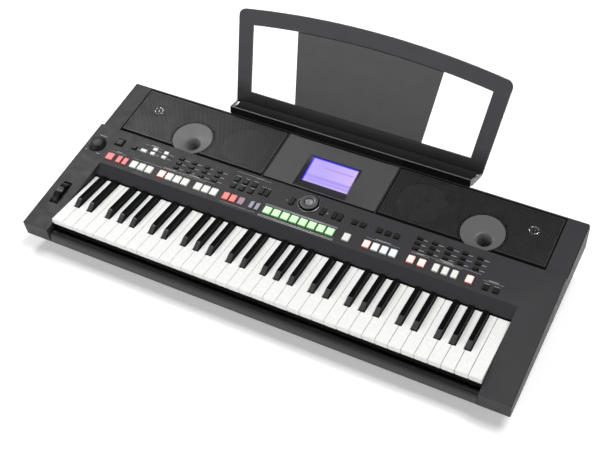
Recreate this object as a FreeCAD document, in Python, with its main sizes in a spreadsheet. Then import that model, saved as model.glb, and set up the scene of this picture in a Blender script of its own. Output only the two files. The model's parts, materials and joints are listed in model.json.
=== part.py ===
"""Portable arranger keyboard: 61 keys, sloped control panel, speaker deck and lift-off music rest.

Millimetres. X runs from the bass end to the treble end, Y from the player to the back, Z up from the table.
Distances along Y are measured from the fronts of the white keys. The last step moves every piece so that the
origin lies on the table, under the middle of the whole instrument.
"""
import FreeCAD, Part
import os
import re
import Sketcher
from FreeCAD import Placement, Rotation, Vector

# Driving dimensions: alias, value, meaning
SIZES = [
    ("key_pitch", 23.5, "white key to white key"),
    ("key_gap", 1.0, "gap between neighbouring white keys"),
    ("key_top", 80, "white key tops above the table"),
    ("white_height", 14, "depth of a white key's skirt"),
    ("white_lip", 8, "height of a white key's front face"),
    ("lip_overhang", 3, "undercut behind the front face"),
    ("key_length", 212, "white key front to the rear end of any key"),
    ("key_wall", 2.2, "wall of a hollow key"),
    ("slot_wall", 10, "solid stretch of a key in front of its fulcrum slot"),
    ("black_front", 49, "white key fronts to black key fronts"),
    ("black_rise", 10.5, "black key tops above the white ones"),
    ("black_end", 139, "rear end of a black key's raised part"),
    ("black_width", 11, "black key width at its foot"),
    ("black_draft", 2, "side draft of a black key, degrees"),
    ("black_bevel", 13, "length of a black key's sloping front"),
    ("black_slot_gap", 1.2, "room beside a black key"),
    ("key_dip", 10, "travel of a key at its front"),
    ("fulcrum", 205, "white key fronts to the line that the keys rock on"),
    ("fulcrum_width", 4, "thickness of the fulcrum rail"),
    ("fulcrum_depth", 8, "white key tops down to the top of the fulcrum rail"),
    ("key_clearance", 0.5, "room round the fulcrum rail"),
    ("cheek_width", 57.5, "end cheek beside the keys"),
    ("cheek_gap", 1.5, "gap between the keys and a cheek"),
    ("cheek_front", -18, "upper front edge of a cheek"),
    ("cheek_foot", -12, "lower front edge of a cheek"),
    ("cheek_overlap", 9, "inner wall of a cheek behind the panel's front edge"),
    ("wall", 3, "wall of the upper case"),
    ("edge_round", 3, "rounding of the upper case's side edges"),
    ("panel_slope", 11.4, "slope of the control panel and of the deck, degrees"),
    ("panel_datum", 66.9, "height of the panel's plane over the white key fronts"),
    ("panel_front", 161.8, "front edge of the control panel"),
    ("panel_rear", 248.5, "rear edge of the control panel"),
    ("fallboard_tip", 142, "front edge of the fallboard"),
    ("fallboard_height", 84.5, "height of the fallboard's front edge"),
    ("fallboard_lip", 3, "thickness of the fallboard's front edge"),
    ("deck_step", 8, "drop from the panel to the speaker deck"),
    ("deck_rear", 378, "rear edge of the deck"),
    ("deck_thickness", 6, "thickness of the deck"),
    ("deck_inset", 3, "depth of the seats for the grilles and the display panel"),
    ("rear_wall", 388, "outside of the rear wall"),
    ("rear_chamfer", 14, "height of the slope above the rear wall"),
    ("parting_datum", 33, "height of the parting plane under the white key fronts"),
    ("parting_slope", 5.85, "rise of the parting plane to the rear, degrees"),
    ("base_height", 10, "underside of the lower case above the table"),
    ("tub_wall", 2.5, "wall of the lower case"),
    ("side_undercut", 31, "inward lean of the lower case's ends, degrees"),
    ("front_undercut", 50, "inward lean of the lower case's front, degrees"),
    ("foot_radius", 11, "rubber foot"),
    ("foot_from_end", 80.5, "rubber feet from the ends of the case"),
    ("foot_front", 60, "front feet"),
    ("foot_rear", 340, "rear feet"),
    ("rail_depth", 12, "front rail, front to back"),
    ("rail_height", 23, "front rail height"),
    ("rail_round", 7, "rounding of the rail's upper front edge"),
    ("rail_gap", 1.5, "gap between the rail and a cheek"),
    ("chassis_drop", 34, "white key tops down to the underside of the chassis"),
    ("chassis_sheet", 2.5, "chassis sheet thickness"),
    ("chassis_front", 8, "front of the chassis"),
    ("rib_inset", 7.5, "ribs under the contact board from its edges"),
    ("rib_from_front", 30, "front rib of the lower case, behind the chassis's front"),
    ("rib_from_fulcrum", 20, "rear rib of the lower case, in front of the fulcrum"),
    ("stop_width", 10, "key stop felt, front to back"),
    ("felt_height", 3.5, "key stop felt thickness"),
    ("stop_clearance", 0.6, "room between a pressed key and the felt"),
    ("board_front", 66, "front edge of the contact board"),
    ("board_depth", 70, "contact board, front to back"),
    ("board_sheet", 1.6, "circuit board thickness"),
    ("board_drop", 26, "white key tops down to the underside of the contact board"),
    ("strip_depth", 14, "rubber contact strip, front to back"),
    ("strip_sheet", 1.2, "rubber contact strip web"),
    ("ridge_width", 6, "contact ridge, front to back"),
    ("ridge_height", 3, "contact ridge above the web"),
    ("panel_board_gap", 4, "panel's underside to the panel boards"),
    ("panel_board_front", 176, "front edge of the panel boards, along the panel"),
    ("panel_board_depth", 66, "panel boards, along the panel"),
    ("panel_board_left", 430, "outer end of the left panel board from the middle"),
    ("panel_board_right", 395, "outer end of the right panel board from the middle"),
    ("panel_board_middle", 24, "inner ends of the panel boards from the middle"),
    ("board_post_width", 5.5, "square posts that carry the panel boards"),
    ("board_post_place", 198, "those posts, along the panel"),
    ("board_post_inset", 15, "those posts from the ends of a board"),
    ("button_height", 3, "button tops above the panel"),
    ("button_stem", 2.5, "button feet under the panel's underside"),
    ("button_gap", 0.5, "room round a button in its hole"),
    ("flange_grow", 1.2, "button foot beyond the button"),
    ("flange_gap", 0.2, "button foot under the panel"),
    ("row_place", 184, "lower button row, along the panel"),
    ("row_depth", 16, "lower row buttons, along the panel"),
    ("start_x", -413, "large start button"),
    ("start_width", 15, "large start button width"),
    ("sync_x", -392, "first of the two narrow buttons beside it"),
    ("sync_pitch", 14, "narrow button pitch"),
    ("sync_width", 9.5, "narrow button width"),
    ("style_pitch", 17.5, "style button pitch"),
    ("style_width", 14, "style button width"),
    ("intro_x", -357.5, "first of three intro buttons"),
    ("variation_x", -294, "first of four variation buttons"),
    ("ending_x", -213, "first of three ending buttons"),
    ("tempo_x", -152, "first of two tempo buttons"),
    ("tempo_pitch", 15.5, "tempo button pitch"),
    ("tempo_width", 12, "tempo button width"),
    ("metronome_x", -119.5, "single button beside them"),
    ("page_x", -97, "first of two narrow page buttons"),
    ("page_pitch", 12, "page button pitch"),
    ("page_width", 8, "page button width"),
    ("memory_x", -63.5, "first of eight memory buttons"),
    ("memory_pitch", 18.3, "memory button pitch"),
    ("memory_width", 15.2, "memory button width"),
    ("freeze_x", 97, "single button right of them"),
    ("part_x", 136.5, "first of four part buttons"),
    ("part_pitch", 17.2, "part button pitch"),
    ("part_width", 13, "part button width"),
    ("harmony_x", 222, "first of two harmony buttons"),
    ("harmony_pitch", 20.5, "harmony button pitch"),
    ("effect_x", 269, "first of three narrow effect buttons"),
    ("effect_pitch", 17.3, "effect button pitch"),
    ("effect_width", 11, "effect button width"),
    ("split_x", 331, "last lit button of the row"),
    ("octave_x", 361.5, "first of the two octave buttons"),
    ("octave_pitch", 18.5, "octave button pitch"),
    ("octave_width", 10, "octave button width"),
    ("octave_depth", 11, "octave button, along the panel"),
    ("octave_place", 180, "octave buttons, along the panel"),
    ("upper_place", 221.4, "middle of the upper button rows, along the panel"),
    ("category_pitch", 28.3, "small category button pitch, side to side"),
    ("category_step", 11.75, "small category button pitch, along the panel"),
    ("category_width", 10, "small category button width"),
    ("category_depth", 5.5, "small category button, along the panel"),
    ("style_grid_x", -277.5, "first column of the left category grid"),
    ("voice_grid_x", 219, "first column of the right category grid"),
    ("menu_x", -152.5, "first column of the menu block"),
    ("menu_pitch", 18.6, "menu button pitch, side to side"),
    ("menu_step", 16.8, "menu button pitch, along the panel"),
    ("menu_width", 10, "menu button width"),
    ("menu_depth", 11, "menu button, along the panel"),
    ("tall_width", 8, "tall button width"),
    ("tall_depth", 16, "tall button, along the panel"),
    ("tab_x", -95.5, "first of two tall buttons left of the dial"),
    ("tab_pitch", 11.6, "tall button pitch"),
    ("enter_x", 31.6, "tall buttons each side of the dial, from the middle"),
    ("exit_x", 55.2, "first of two tall buttons right of the dial"),
    ("direct_x", 96, "first of two square buttons"),
    ("direct_pitch", 16.7, "square button pitch"),
    ("usb_x", 145, "first of three square buttons"),
    ("square_width", 10, "square button width"),
    ("square_depth", 10.5, "square button, along the panel"),
    ("song_x", -338.2, "first column of the small white buttons"),
    ("song_pitch", 25.4, "small white button pitch, side to side"),
    ("song_step", 11, "small white button pitch, along the panel"),
    ("song_place", 222.5, "front row of the small white buttons, along the panel"),
    ("song_width", 9.5, "small white button width"),
    ("song_depth", 7, "small white button, along the panel"),
    ("record_x", -358.5, "wide white button"),
    ("record_width", 13, "wide white button width"),
    ("demo_x", -381, "small black button"),
    ("volume_from_end", 24.5, "volume knob from the end of the case"),
    ("volume_place", 203, "volume knob, along the panel"),
    ("volume_radius", 18, "volume knob skirt"),
    ("volume_top", 12.5, "volume knob top"),
    ("volume_height", 8, "volume knob height"),
    ("volume_skirt", 2, "upright skirt of the volume knob"),
    ("shaft_radius", 3, "knob and dial shafts"),
    ("shaft_clearance", 0.3, "room round a shaft"),
    ("control_gap", 0.6, "turning controls above the panel"),
    ("pot_size", 22, "potentiometer and encoder bodies"),
    ("pot_depth", 9, "potentiometer and encoder depth"),
    ("power_from_volume", 41, "power button from the volume knob"),
    ("power_place", 224, "power button, along the panel"),
    ("power_size", 13, "power button"),
    ("dial_place", 229.5, "data dial, along the panel"),
    ("dial_radius", 17.8, "data dial"),
    ("dial_height", 5, "data dial height"),
    ("dial_dish", 2, "hollow in the data dial"),
    ("dial_rim", 10, "flat rim of the data dial"),
    ("ring_gap", 0.6, "room between the dial and its ring"),
    ("ring_width", 3.6, "dial ring width"),
    ("ring_height", 2.2, "dial ring height"),
    ("wheel_from_end", 27.5, "pitch wheel from the end of the case"),
    ("wheel_place", 70.6, "pitch wheel, along the panel"),
    ("wheel_radius", 30, "pitch wheel"),
    ("wheel_width", 13, "pitch wheel width"),
    ("wheel_depth", 19.3, "pitch wheel axis below the panel"),
    ("wheel_notch", 3, "thumb notch radius"),
    ("wheel_gap", 1.5, "room round the wheel in its slot"),
    ("axle_radius", 2.5, "pitch wheel axle"),
    ("axle_end", 3.5, "axle beyond the wheel at each side"),
    ("bearing_gap", 0.1, "room round the axle in its bearings"),
    ("ear_sheet", 2.5, "cradle ear thickness"),
    ("ear_gap", 0.7, "wheel side to cradle ear"),
    ("ear_width", 16, "cradle ear width"),
    ("cradle_drop", 36, "pitch wheel axis down to the cradle's floor"),
    ("grille_inner", 118.5, "inner edge of a grille's seat from the middle"),
    ("grille_end", 39.5, "outer edge of a grille's seat from the end of the case"),
    ("grille_front", 258, "front edge of the grille seats, along the deck"),
    ("grille_rear", 382.5, "rear edge of the grille seats, along the deck"),
    ("grille_gap", 1.4, "groove round a grille and round the display panel"),
    ("grille_sheet", 1.2, "grille sheet"),
    ("grille_rim", 2, "folded rim of a grille"),
    ("port_left_x", -291, "left port ring"),
    ("port_right_x", 313.5, "right port ring"),
    ("port_place", 295.5, "port rings, along the deck"),
    ("port_radius", 40.6, "port ring"),
    ("port_rise", 0.6, "port ring above the deck"),
    ("port_bore", 14.4, "port bore"),
    ("port_wall", 2, "port tube wall"),
    ("port_length", 40, "port tube length"),
    ("port_gap", 0.3, "room round a port tube in the deck"),
    ("port_shift_x", 8, "bore from the middle of the ring, sideways"),
    ("port_shift_y", -13.5, "bore from the middle of the ring, along the deck"),
    ("woofer_x", 185, "woofers from the middle"),
    ("woofer_place", 321, "woofers, along the deck"),
    ("woofer_cone", 46, "woofer cone radius"),
    ("woofer_sink", 15, "depth of the woofer cone"),
    ("woofer_coil", 12, "middle of the woofer cone"),
    ("woofer_frame", 54, "woofer frame radius"),
    ("woofer_depth", 48, "woofer depth"),
    ("magnet_radius", 32, "woofer magnet radius"),
    ("magnet_height", 16, "woofer magnet height"),
    ("tweeter_from_end", 85, "tweeters from the ends of the case"),
    ("tweeter_place", 339, "tweeters, along the deck"),
    ("tweeter_dome", 12, "tweeter dome radius"),
    ("tweeter_rise", 3, "tweeter dome above its frame"),
    ("tweeter_crown", 6, "flat middle of the tweeter dome"),
    ("tweeter_frame", 19, "tweeter frame radius"),
    ("tweeter_depth", 20, "tweeter depth"),
    ("display_front", 256, "front edge of the display panel's seat, along the deck"),
    ("display_half", 117, "half the width of the display panel's seat"),
    ("window_half", 47.4, "half the width of the display"),
    ("window_depth", 57, "display, front to back"),
    ("window_y", 313, "middle of the display"),
    ("window_z", 115.6, "height of the middle of the display"),
    ("window_tilt", 17.2, "slope of the display, degrees"),
    ("window_sheet", 1.5, "display window thickness"),
    ("window_margin", 3, "display window beyond its opening"),
    ("sill_half", 55, "half the width of the sunk frame at the deck"),
    ("sill_front", 267.5, "front of the sunk frame, along the deck"),
    ("sill_rear", 346.5, "rear of the sunk frame, along the deck"),
    ("sill_wall", 4, "least wall round the sunk frame"),
    ("sill_drop", 18, "depth of the block that the sunk frame is cut in"),
    ("sill_gap", 0.5, "room round that block in the deck"),
    ("module_depth", 8, "display module thickness"),
    ("rest_tilt", 18, "lean of the music rest, degrees"),
    ("rest_y", 417.7, "front face of the rest at its foot"),
    ("rest_z", 136, "height of the rest's foot"),
    ("rest_foot_half", 262.5, "half the width of the rest at its foot"),
    ("rest_top_half", 282, "half the width of the rest at its shoulders"),
    ("rest_shoulder", 188, "height of the shoulders along the rest"),
    ("rest_height", 210.5, "height of the arch along the rest"),
    ("rest_sheet", 4, "rest thickness"),
    ("rest_corner", 14, "rounding of the shoulders"),
    ("rest_bar", 31, "width of the rest's frame"),
    ("rest_sill", 27, "height of the bar under the windows"),
    ("insert_foot", 134.5, "half the width of the centre panel at its foot"),
    ("insert_top", 150, "half the width of the centre panel at its top"),
    ("insert_sheet", 2.6, "centre panel thickness"),
    ("insert_gap", 0.8, "groove above and below the centre panel"),
    ("trough_half", 254, "half the length of the trough"),
    ("trough_lip", 40.5, "trough lip in front of the rest's foot"),
    ("trough_rise", 15.5, "trough lip above the rest's foot"),
    ("trough_sheet", 2.4, "trough wall"),
    ("trough_sag", 40, "radius of the trough's hollow"),
    ("tongue_x", 150, "tongues of the rest from the middle"),
    ("tongue_width", 56, "tongue width"),
    ("tongue_sheet", 4, "tongue thickness"),
    ("tongue_length", 28, "tongue length"),
    ("tongue_gap", 0.5, "room round a tongue"),
    ("socket_wall", 4, "wall of a tongue socket"),
    ("post_radius", 5, "screw posts"),
    ("post_front_end", 28.5, "front screw posts from the ends of the case"),
    ("post_rear_end", 52.5, "rear screw posts from the ends of the case"),
    ("post_rear", 318, "rear screw posts"),
    ("post_middle", 115, "middle screw posts from the middle"),
    ("post_front", 26, "front screw posts"),
    ("boss_height", 8, "screw bosses on the lower case's floor"),
    ("screw_radius", 1.75, "case screw shank"),
    ("screw_clearance", 0.3, "room round a screw shank"),
    ("thread_gap", 0.05, "room round a screw in its post"),
    ("screw_head", 3.6, "screw head radius"),
    ("screw_head_height", 2.4, "screw head height"),
    ("screw_length", 24, "case screw length"),
    ("counterbore", 5, "depth of a screw's counterbore"),
    ("main_board_half", 100, "half the width of the main board"),
    ("main_board_front", 258, "front edge of the main board"),
    ("main_board_depth", 100, "main board, front to back"),
    ("standoff", 9, "board standoffs on the lower case's floor"),
    ("standoff_radius", 4, "board standoff radius"),
    ("jack_board_x", 270, "inner end of the jack board"),
    ("jack_board_width", 150, "jack board width"),
    ("jack_board_depth", 44, "jack board, front to back"),
    ("jack_wall_gap", 0.4, "jack bodies to the rear wall"),
    ("jack_size", 13, "jack body width and height"),
    ("jack_body", 24, "jack body length"),
    ("jack_nose", 4.6, "jack nose radius"),
    ("jack_bore", 3.25, "jack bore radius"),
    ("jack_bore_depth", 22, "jack bore depth"),
    ("jack_nose_length", 3.6, "jack nose beyond the inside of the rear wall"),
    ("jack_pitch", 24, "jack pitch"),
    ("jack_x", 288, "first jack"),
    ("inlet_x", 400, "power inlet"),
    ("inlet_bore", 2.9, "power inlet bore radius"),
    ("inlet_pin", 1, "power inlet centre pin radius"),
    ("hole_gap", 0.4, "room round a jack nose in the rear wall"),
]
ALIASES = {alias for alias, size, meaning in SIZES}

doc = FreeCAD.newDocument("arranger_keyboard")
sheet = doc.addObject("Spreadsheet::Sheet", "Sizes")
for row, (alias, size, meaning) in enumerate(SIZES, start=1):
    sheet.set(f"A{row}", meaning)
    sheet.set(f"B{row}", str(size))
    sheet.setAlias(f"B{row}", alias)
doc.recompute()


def bound(text):
    """An expression with every alias pointed at the sheet."""
    return re.sub(
        r"[a-z][a-z_0-9]*",
        lambda word: f"Sizes.{word[0]}" if word[0] in ALIASES else word[0],
        str(text),
    )


def value(text):
    """The number that an expression has now."""
    return float(sheet.evalExpression(bound(text)))


# Lengths and heights that several pieces share
OCTAVES = 5
OCTAVE = "(7 * key_pitch)"
SPAN = f"({OCTAVES} * {OCTAVE} + key_pitch)"
WELL = f"({SPAN} / 2 + cheek_gap)"
HALF = f"({SPAN} / 2 + cheek_width)"
UNDER_PANEL = "(wall + button_stem)"
FLOOR = "(base_height + tub_wall)"
FULCRUM_TOP = "(key_top - fulcrum_depth)"
KEY_UNDERSIDE = "(key_top - white_height)"
CHASSIS = "(key_top - chassis_drop)"
DECK_DATUM = "(panel_datum - deck_step)"
REST_REAR = "(rest_y + rest_height * sin(rest_tilt) + rest_sheet * cos(rest_tilt))"
ORIGIN_Y = f"((cheek_front + {REST_REAR}) / 2)"
VOLUME_X = f"(volume_from_end - {HALF})"


def panel_z(y):
    """Height of the control panel's plane at a distance from the key fronts."""
    return f"(panel_datum + ({y}) * tan(panel_slope))"


def deck_z(y):
    return f"({panel_z(y)} - deck_step)"


def parting_z(y):
    """Height of the plane where the upper and the lower case meet."""
    return f"(parting_datum + ({y}) * tan(parting_slope))"


pieces = []
OUTLINES_PER_SKETCH = 5
POST_SIDES = 8


def seat(item, y="0", z="0", tilt=None, x="0"):
    """Places an object: a turn about X, then a move, all bound to the sheet."""
    item.Placement = Placement(Vector(), Rotation(Vector(1, 0, 0), 1 if tilt else 0))
    for axis, text in (("x", x), ("y", y), ("z", z)):
        item.setExpression(f"Placement.Base.{axis}", bound(text))
    if tilt:
        item.setExpression("Placement.Rotation.Angle", bound(tilt))
    return item


def piece(item, label, y="0", z="0", tilt=None, x="0"):
    """Names a finished piece and places it in the instrument's own frame."""
    item.Label = label
    pieces.append(item)
    return seat(item, f"({y}) - {ORIGIN_Y}", z, tilt, x)


def new_body(name):
    body = doc.addObject("PartDesign::Body", name)
    body.AllowCompound = True
    return body


def edge_between(start, end, bulge):
    """A straight edge, or an arc of radius bulge[0] to the side bulge[1]; 1 is left of the way along it."""
    if bulge is None:
        return Part.LineSegment(start, end), 1, 2
    radius, side = value(bulge[0]), bulge[1]
    chord = end - start
    middle = start + chord * 0.5
    normal = Vector(-chord.y, chord.x, 0) / chord.Length * side
    sagitta = radius - (radius ** 2 - (chord.Length / 2) ** 2) ** 0.5
    arc = Part.Arc(start, middle + normal * sagitta, end)
    return (arc, 2, 1) if side == 1 else (arc, 1, 2)


class Drawing:
    """Edges of a sketch and the bound dimensions that hold them, added to the sketch all at once."""

    def __init__(self):
        self.edges = []
        self.links = []
        self.texts = {}

    def dimension(self, kind, text, *ends):
        self.texts[len(self.links)] = text
        self.links.append(Sketcher.Constraint(kind, *ends, value(text)))

    def hold(self, geometry, position, x, y):
        """Dimensions one point from the sketch's origin."""
        self.dimension("DistanceX", x, -1, 1, geometry, position)
        self.dimension("DistanceY", y, -1, 1, geometry, position)

    def loop(self, corners):
        """A closed outline; a corner is (x, y) or (x, y, bulge of the edge that follows)."""
        points = [Vector(value(corner[0]), value(corner[1]), 0) for corner in corners]
        ends = []
        for index, corner in enumerate(corners):
            bulge = corner[2] if len(corner) > 2 else None
            shape, first, last = edge_between(points[index], points[(index + 1) % len(points)], bulge)
            geometry = len(self.edges)
            self.edges.append(shape)
            ends.append((geometry, first, last))
            self.hold(geometry, first, corner[0], corner[1])
            if bulge:
                self.dimension("Radius", bulge[0], geometry)
        for index, (geometry, first, last) in enumerate(ends):
            following = ends[(index + 1) % len(ends)]
            self.links.append(Sketcher.Constraint("Coincident", geometry, last, following[0], following[1]))

    def circle(self, x, y, radius):
        geometry = len(self.edges)
        self.edges.append(Part.Circle(Vector(value(x), value(y), 0), Vector(0, 0, 1), value(radius)))
        self.hold(geometry, 3, x, y)
        self.dimension("Radius", radius, geometry)

    def add_to(self, sketch):
        sketch.addGeometry(self.edges, False)
        sketch.addConstraint(self.links)
        for index, text in self.texts.items():
            sketch.setExpression(f"Constraints[{index}]", bound(text))


def new_sketch(body, role, loops=(), circles=(), offset=None):
    """A sketch on one of the body's origin planes, moved along the plane's normal by an offset."""
    sketch = body.newObject("Sketcher::SketchObject", f"{body.Name}_sketch")
    plane = next(feature for feature in body.Origin.OriginFeatures if feature.Role == role)
    sketch.AttachmentSupport = [(plane, "")]
    sketch.MapMode = "FlatFace"
    if offset is not None:
        sketch.setExpression("AttachmentOffset.Base.z", bound(offset))
    drawing = Drawing()
    for loop in loops:
        drawing.loop(loop)
    for place in circles:
        drawing.circle(*place)
    drawing.add_to(sketch)
    return sketch


def extrude(body, sketch, length, symmetric=False, back=False, cut=False, draft=None):
    """Pads or pockets a sketch by a bound length."""
    feature = body.newObject("PartDesign::Pocket" if cut else "PartDesign::Pad", f"{body.Name}_extrude")
    feature.Profile = sketch
    feature.SideType = "Symmetric" if symmetric else "One side"
    feature.Reversed = back
    feature.setExpression("Length", bound(length))
    if draft:
        feature.setExpression("TaperAngle", bound(draft))
    return feature


def extrude_outlines(body, outlines, length, offset=None, symmetric=False):
    """Pads many separate outlines, a few to a sketch."""
    for first in range(0, len(outlines), OUTLINES_PER_SKETCH):
        sketch = new_sketch(body, "XY_Plane", outlines[first:first + OUTLINES_PER_SKETCH], offset=offset)
        body.Tip = extrude(body, sketch, length, symmetric)


def turned(body, half_outline):
    """A solid of revolution about Z from half an outline of (radius, height) corners."""
    sketch = new_sketch(body, "XZ_Plane", [half_outline])
    feature = body.newObject("PartDesign::Revolution", f"{body.Name}_turn")
    feature.Profile = sketch
    feature.ReferenceAxis = (sketch, ["V_Axis"])
    feature.Angle = 360
    return body


def rectangle(x_low, y_low, x_high, y_high):
    return [(x_low, y_low), (x_high, y_low), (x_high, y_high), (x_low, y_high)]


def centred(x, y, width, depth, grow="0"):
    """A rectangle about a point, grown on every side."""
    half_x = f"({width} / 2 + {grow})"
    half_y = f"({depth} / 2 + {grow})"
    return rectangle(f"{x} - {half_x}", f"{y} - {half_y}", f"{x} + {half_x}", f"{y} + {half_y}")


def block(name, x_low, y_low, z_low, x_size, y_size, z_size):
    """A box with bound place and sizes."""
    box = doc.addObject("Part::Box", name)
    for property_name, text in (("Length", x_size), ("Width", y_size), ("Height", z_size)):
        box.setExpression(property_name, bound(text))
    return seat(box, y_low, z_low, x=x_low)


def rod(name, x, y, z_low, radius, height, sides=POST_SIDES, tilt=None):
    """A many-sided post or hole with bound place and sizes; the radius is to its corners."""
    prism = doc.addObject("Part::Prism", name)
    prism.Polygon = sides
    prism.setExpression("Circumradius", bound(radius))
    prism.setExpression("Height", bound(height))
    return seat(prism, y, z_low, tilt, x)


def many_sided(x, y, radius, sides=POST_SIDES):
    """Outline of a many-sided hole or peg; the radius is to its corners."""
    turns = [f"{360 * corner / sides}" for corner in range(sides)]
    return [(f"{x} + ({radius}) * cos({turn})", f"{y} + ({radius}) * sin({turn})") for turn in turns]


def widening(radius, end_radius, height, sides):
    """Slope, in degrees, of a many-sided form that goes from one radius to another."""
    return f"atan(({end_radius} - {radius}) * cos({180 / sides}) / ({height}))"


def stacked(name, sections, sides):
    """A many-sided round form through (radius, height) sections; the radii are to its corners."""
    body = new_body(name)
    for (radius, low), (end_radius, high) in zip(sections, sections[1:]):
        sketch = new_sketch(body, "XY_Plane", [many_sided("0", "0", radius, sides)], offset=low)
        height = f"{high} - ({low})"
        slope = None if radius == end_radius else widening(radius, end_radius, height, sides)
        body.Tip = extrude(body, sketch, height, draft=slope)
    return body


def fused(name, items):
    join = doc.addObject("Part::MultiFuse", name)
    join.Shapes = list(items)
    return join


def grouped(name, items):
    """Separate solids that share one node."""
    group = doc.addObject("Part::Compound", name)
    group.Links = list(items)
    return group


def cut_from(name, base, tools):
    """The base less a list of tools."""
    cut = doc.addObject("Part::Cut", name)
    cut.Base = base
    cut.Tool = tools[0] if len(tools) == 1 else fused(f"{name}_tools", tools)
    return cut


# Keys

SHORT_TAIL = "(key_pitch * 3 / 5)"
LONG_TAIL = "(key_pitch * 4 / 7)"
BLACK_PLACES = {
    "c_sharp": f"(1.5 * {SHORT_TAIL})",
    "d_sharp": f"(3.5 * {SHORT_TAIL})",
    "f_sharp": f"(3 * key_pitch + 1.5 * {LONG_TAIL})",
    "g_sharp": f"(3 * key_pitch + 3.5 * {LONG_TAIL})",
    "a_sharp": f"(3 * key_pitch + 5.5 * {LONG_TAIL})",
}
WHITE_NEIGHBOURS = {
    "c": (None, "c_sharp"),
    "d": ("c_sharp", "d_sharp"),
    "e": ("d_sharp", None),
    "f": (None, "f_sharp"),
    "g": ("f_sharp", "g_sharp"),
    "a": ("g_sharp", "a_sharp"),
    "b": ("a_sharp", None),
}
MIDDLE_OCTAVE = 2
SLOT_HALF = "(black_width / 2 + black_slot_gap)"
SHOULDER = "(black_front - black_slot_gap)"
POCKET_END = "(fulcrum - slot_wall)"


def octave_start(octave):
    return f"({octave} * {OCTAVE} - {SPAN} / 2)"


def white_edges(letter, octave, plain=False):
    """Left and right edges of a white key: at its head and at its tail between the black keys."""
    start = octave_start(octave)
    place = list(WHITE_NEIGHBOURS).index(letter)
    left_black, right_black = (None, None) if plain else WHITE_NEIGHBOURS[letter]
    left = f"({start} + {place} * key_pitch + key_gap / 2)"
    right = f"({start} + {place + 1} * key_pitch - key_gap / 2)"
    tail_left = f"({start} + {BLACK_PLACES[left_black]} + {SLOT_HALF})" if left_black else left
    tail_right = f"({start} + {BLACK_PLACES[right_black]} - {SLOT_HALF})" if right_black else right
    return left, right, tail_left, tail_right


def white_outline(letter, octave, plain=False):
    """Plan of a white key with its cut-outs for the black keys."""
    left, right, tail_left, tail_right = white_edges(letter, octave, plain)
    corners = [(left, "0"), (right, "0")]
    if tail_right != right:
        corners += [(right, SHOULDER), (tail_right, SHOULDER)]
    corners += [(tail_right, "key_length"), (tail_left, "key_length")]
    if tail_left != left:
        corners += [(tail_left, SHOULDER), (left, SHOULDER)]
    return corners


def white_hollow(letter, octave, plain=False):
    """Plan of the hollow under a white key, as wide as its tail allows."""
    left, right, tail_left, tail_right = white_edges(letter, octave, plain)
    front = "lip_overhang + key_wall"
    return rectangle(f"{tail_left} + key_wall", front, f"{tail_right} - key_wall", POCKET_END)


def black_outline(name, octave, inset="0", rear="key_length"):
    """Plan of a black key, drawn in by an inset."""
    centre = f"({octave_start(octave)} + {BLACK_PLACES[name]})"
    half = f"(black_width / 2 - {inset})"
    return rectangle(f"{centre} - {half}", f"(black_front + {inset})", f"{centre} + {half}", rear)


def fulcrum_slot():
    """Side view of the slot that hooks over the fulcrum rail, open below."""
    half = "(fulcrum_width / 2 + key_clearance)"
    roof = f"({FULCRUM_TOP} + key_clearance)"
    return rectangle(f"fulcrum - {half}", f"{KEY_UNDERSIDE} - key_wall", f"fulcrum + {half}", roof)


def octave_pattern(body, features, sketch, octaves):
    """Repeats key features by whole octaves."""
    pattern = body.newObject("PartDesign::LinearPattern", f"{body.Name}_octaves")
    pattern.Originals = features
    pattern.Direction = (sketch, ["H_Axis"])
    pattern.setExpression("Length", bound(f"{OCTAVE} * {octaves - 1}"))
    pattern.Occurrences = octaves
    body.Tip = pattern


def white_keys(label, letters, octave, octaves=1, last_key=False):
    """Hollow white keys: plan, hollow underside, undercut front and fulcrum slot."""
    body = new_body(label)
    outlines = [white_outline(letter, octave) for letter in letters]
    plan = new_sketch(body, "XY_Plane", outlines, offset=KEY_UNDERSIDE)
    solid = extrude(body, plan, "white_height")
    hollows = [white_hollow(letter, octave) for letter in letters]
    inside = new_sketch(body, "XY_Plane", hollows, offset=KEY_UNDERSIDE)
    hollowed = extrude(body, inside, "white_height - key_wall", cut=True, back=True)
    if octaves > 1:
        octave_pattern(body, [solid, hollowed], plan, octaves)
    if last_key:
        after = octave + octaves
        top = new_sketch(body, "XY_Plane", [white_outline("c", after, True)], offset=KEY_UNDERSIDE)
        extrude(body, top, "white_height")
        hollow_top = new_sketch(body, "XY_Plane", [white_hollow("c", after, True)], offset=KEY_UNDERSIDE)
        extrude(body, hollow_top, "white_height - key_wall", cut=True, back=True)
    undercut = rectangle("-key_wall", f"{KEY_UNDERSIDE} - key_wall", "lip_overhang", "key_top - white_lip")
    side = new_sketch(body, "YZ_Plane", [undercut, fulcrum_slot()])
    body.Tip = extrude(body, side, f"{SPAN} * 2", symmetric=True, cut=True)
    return piece(body, label)


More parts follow.
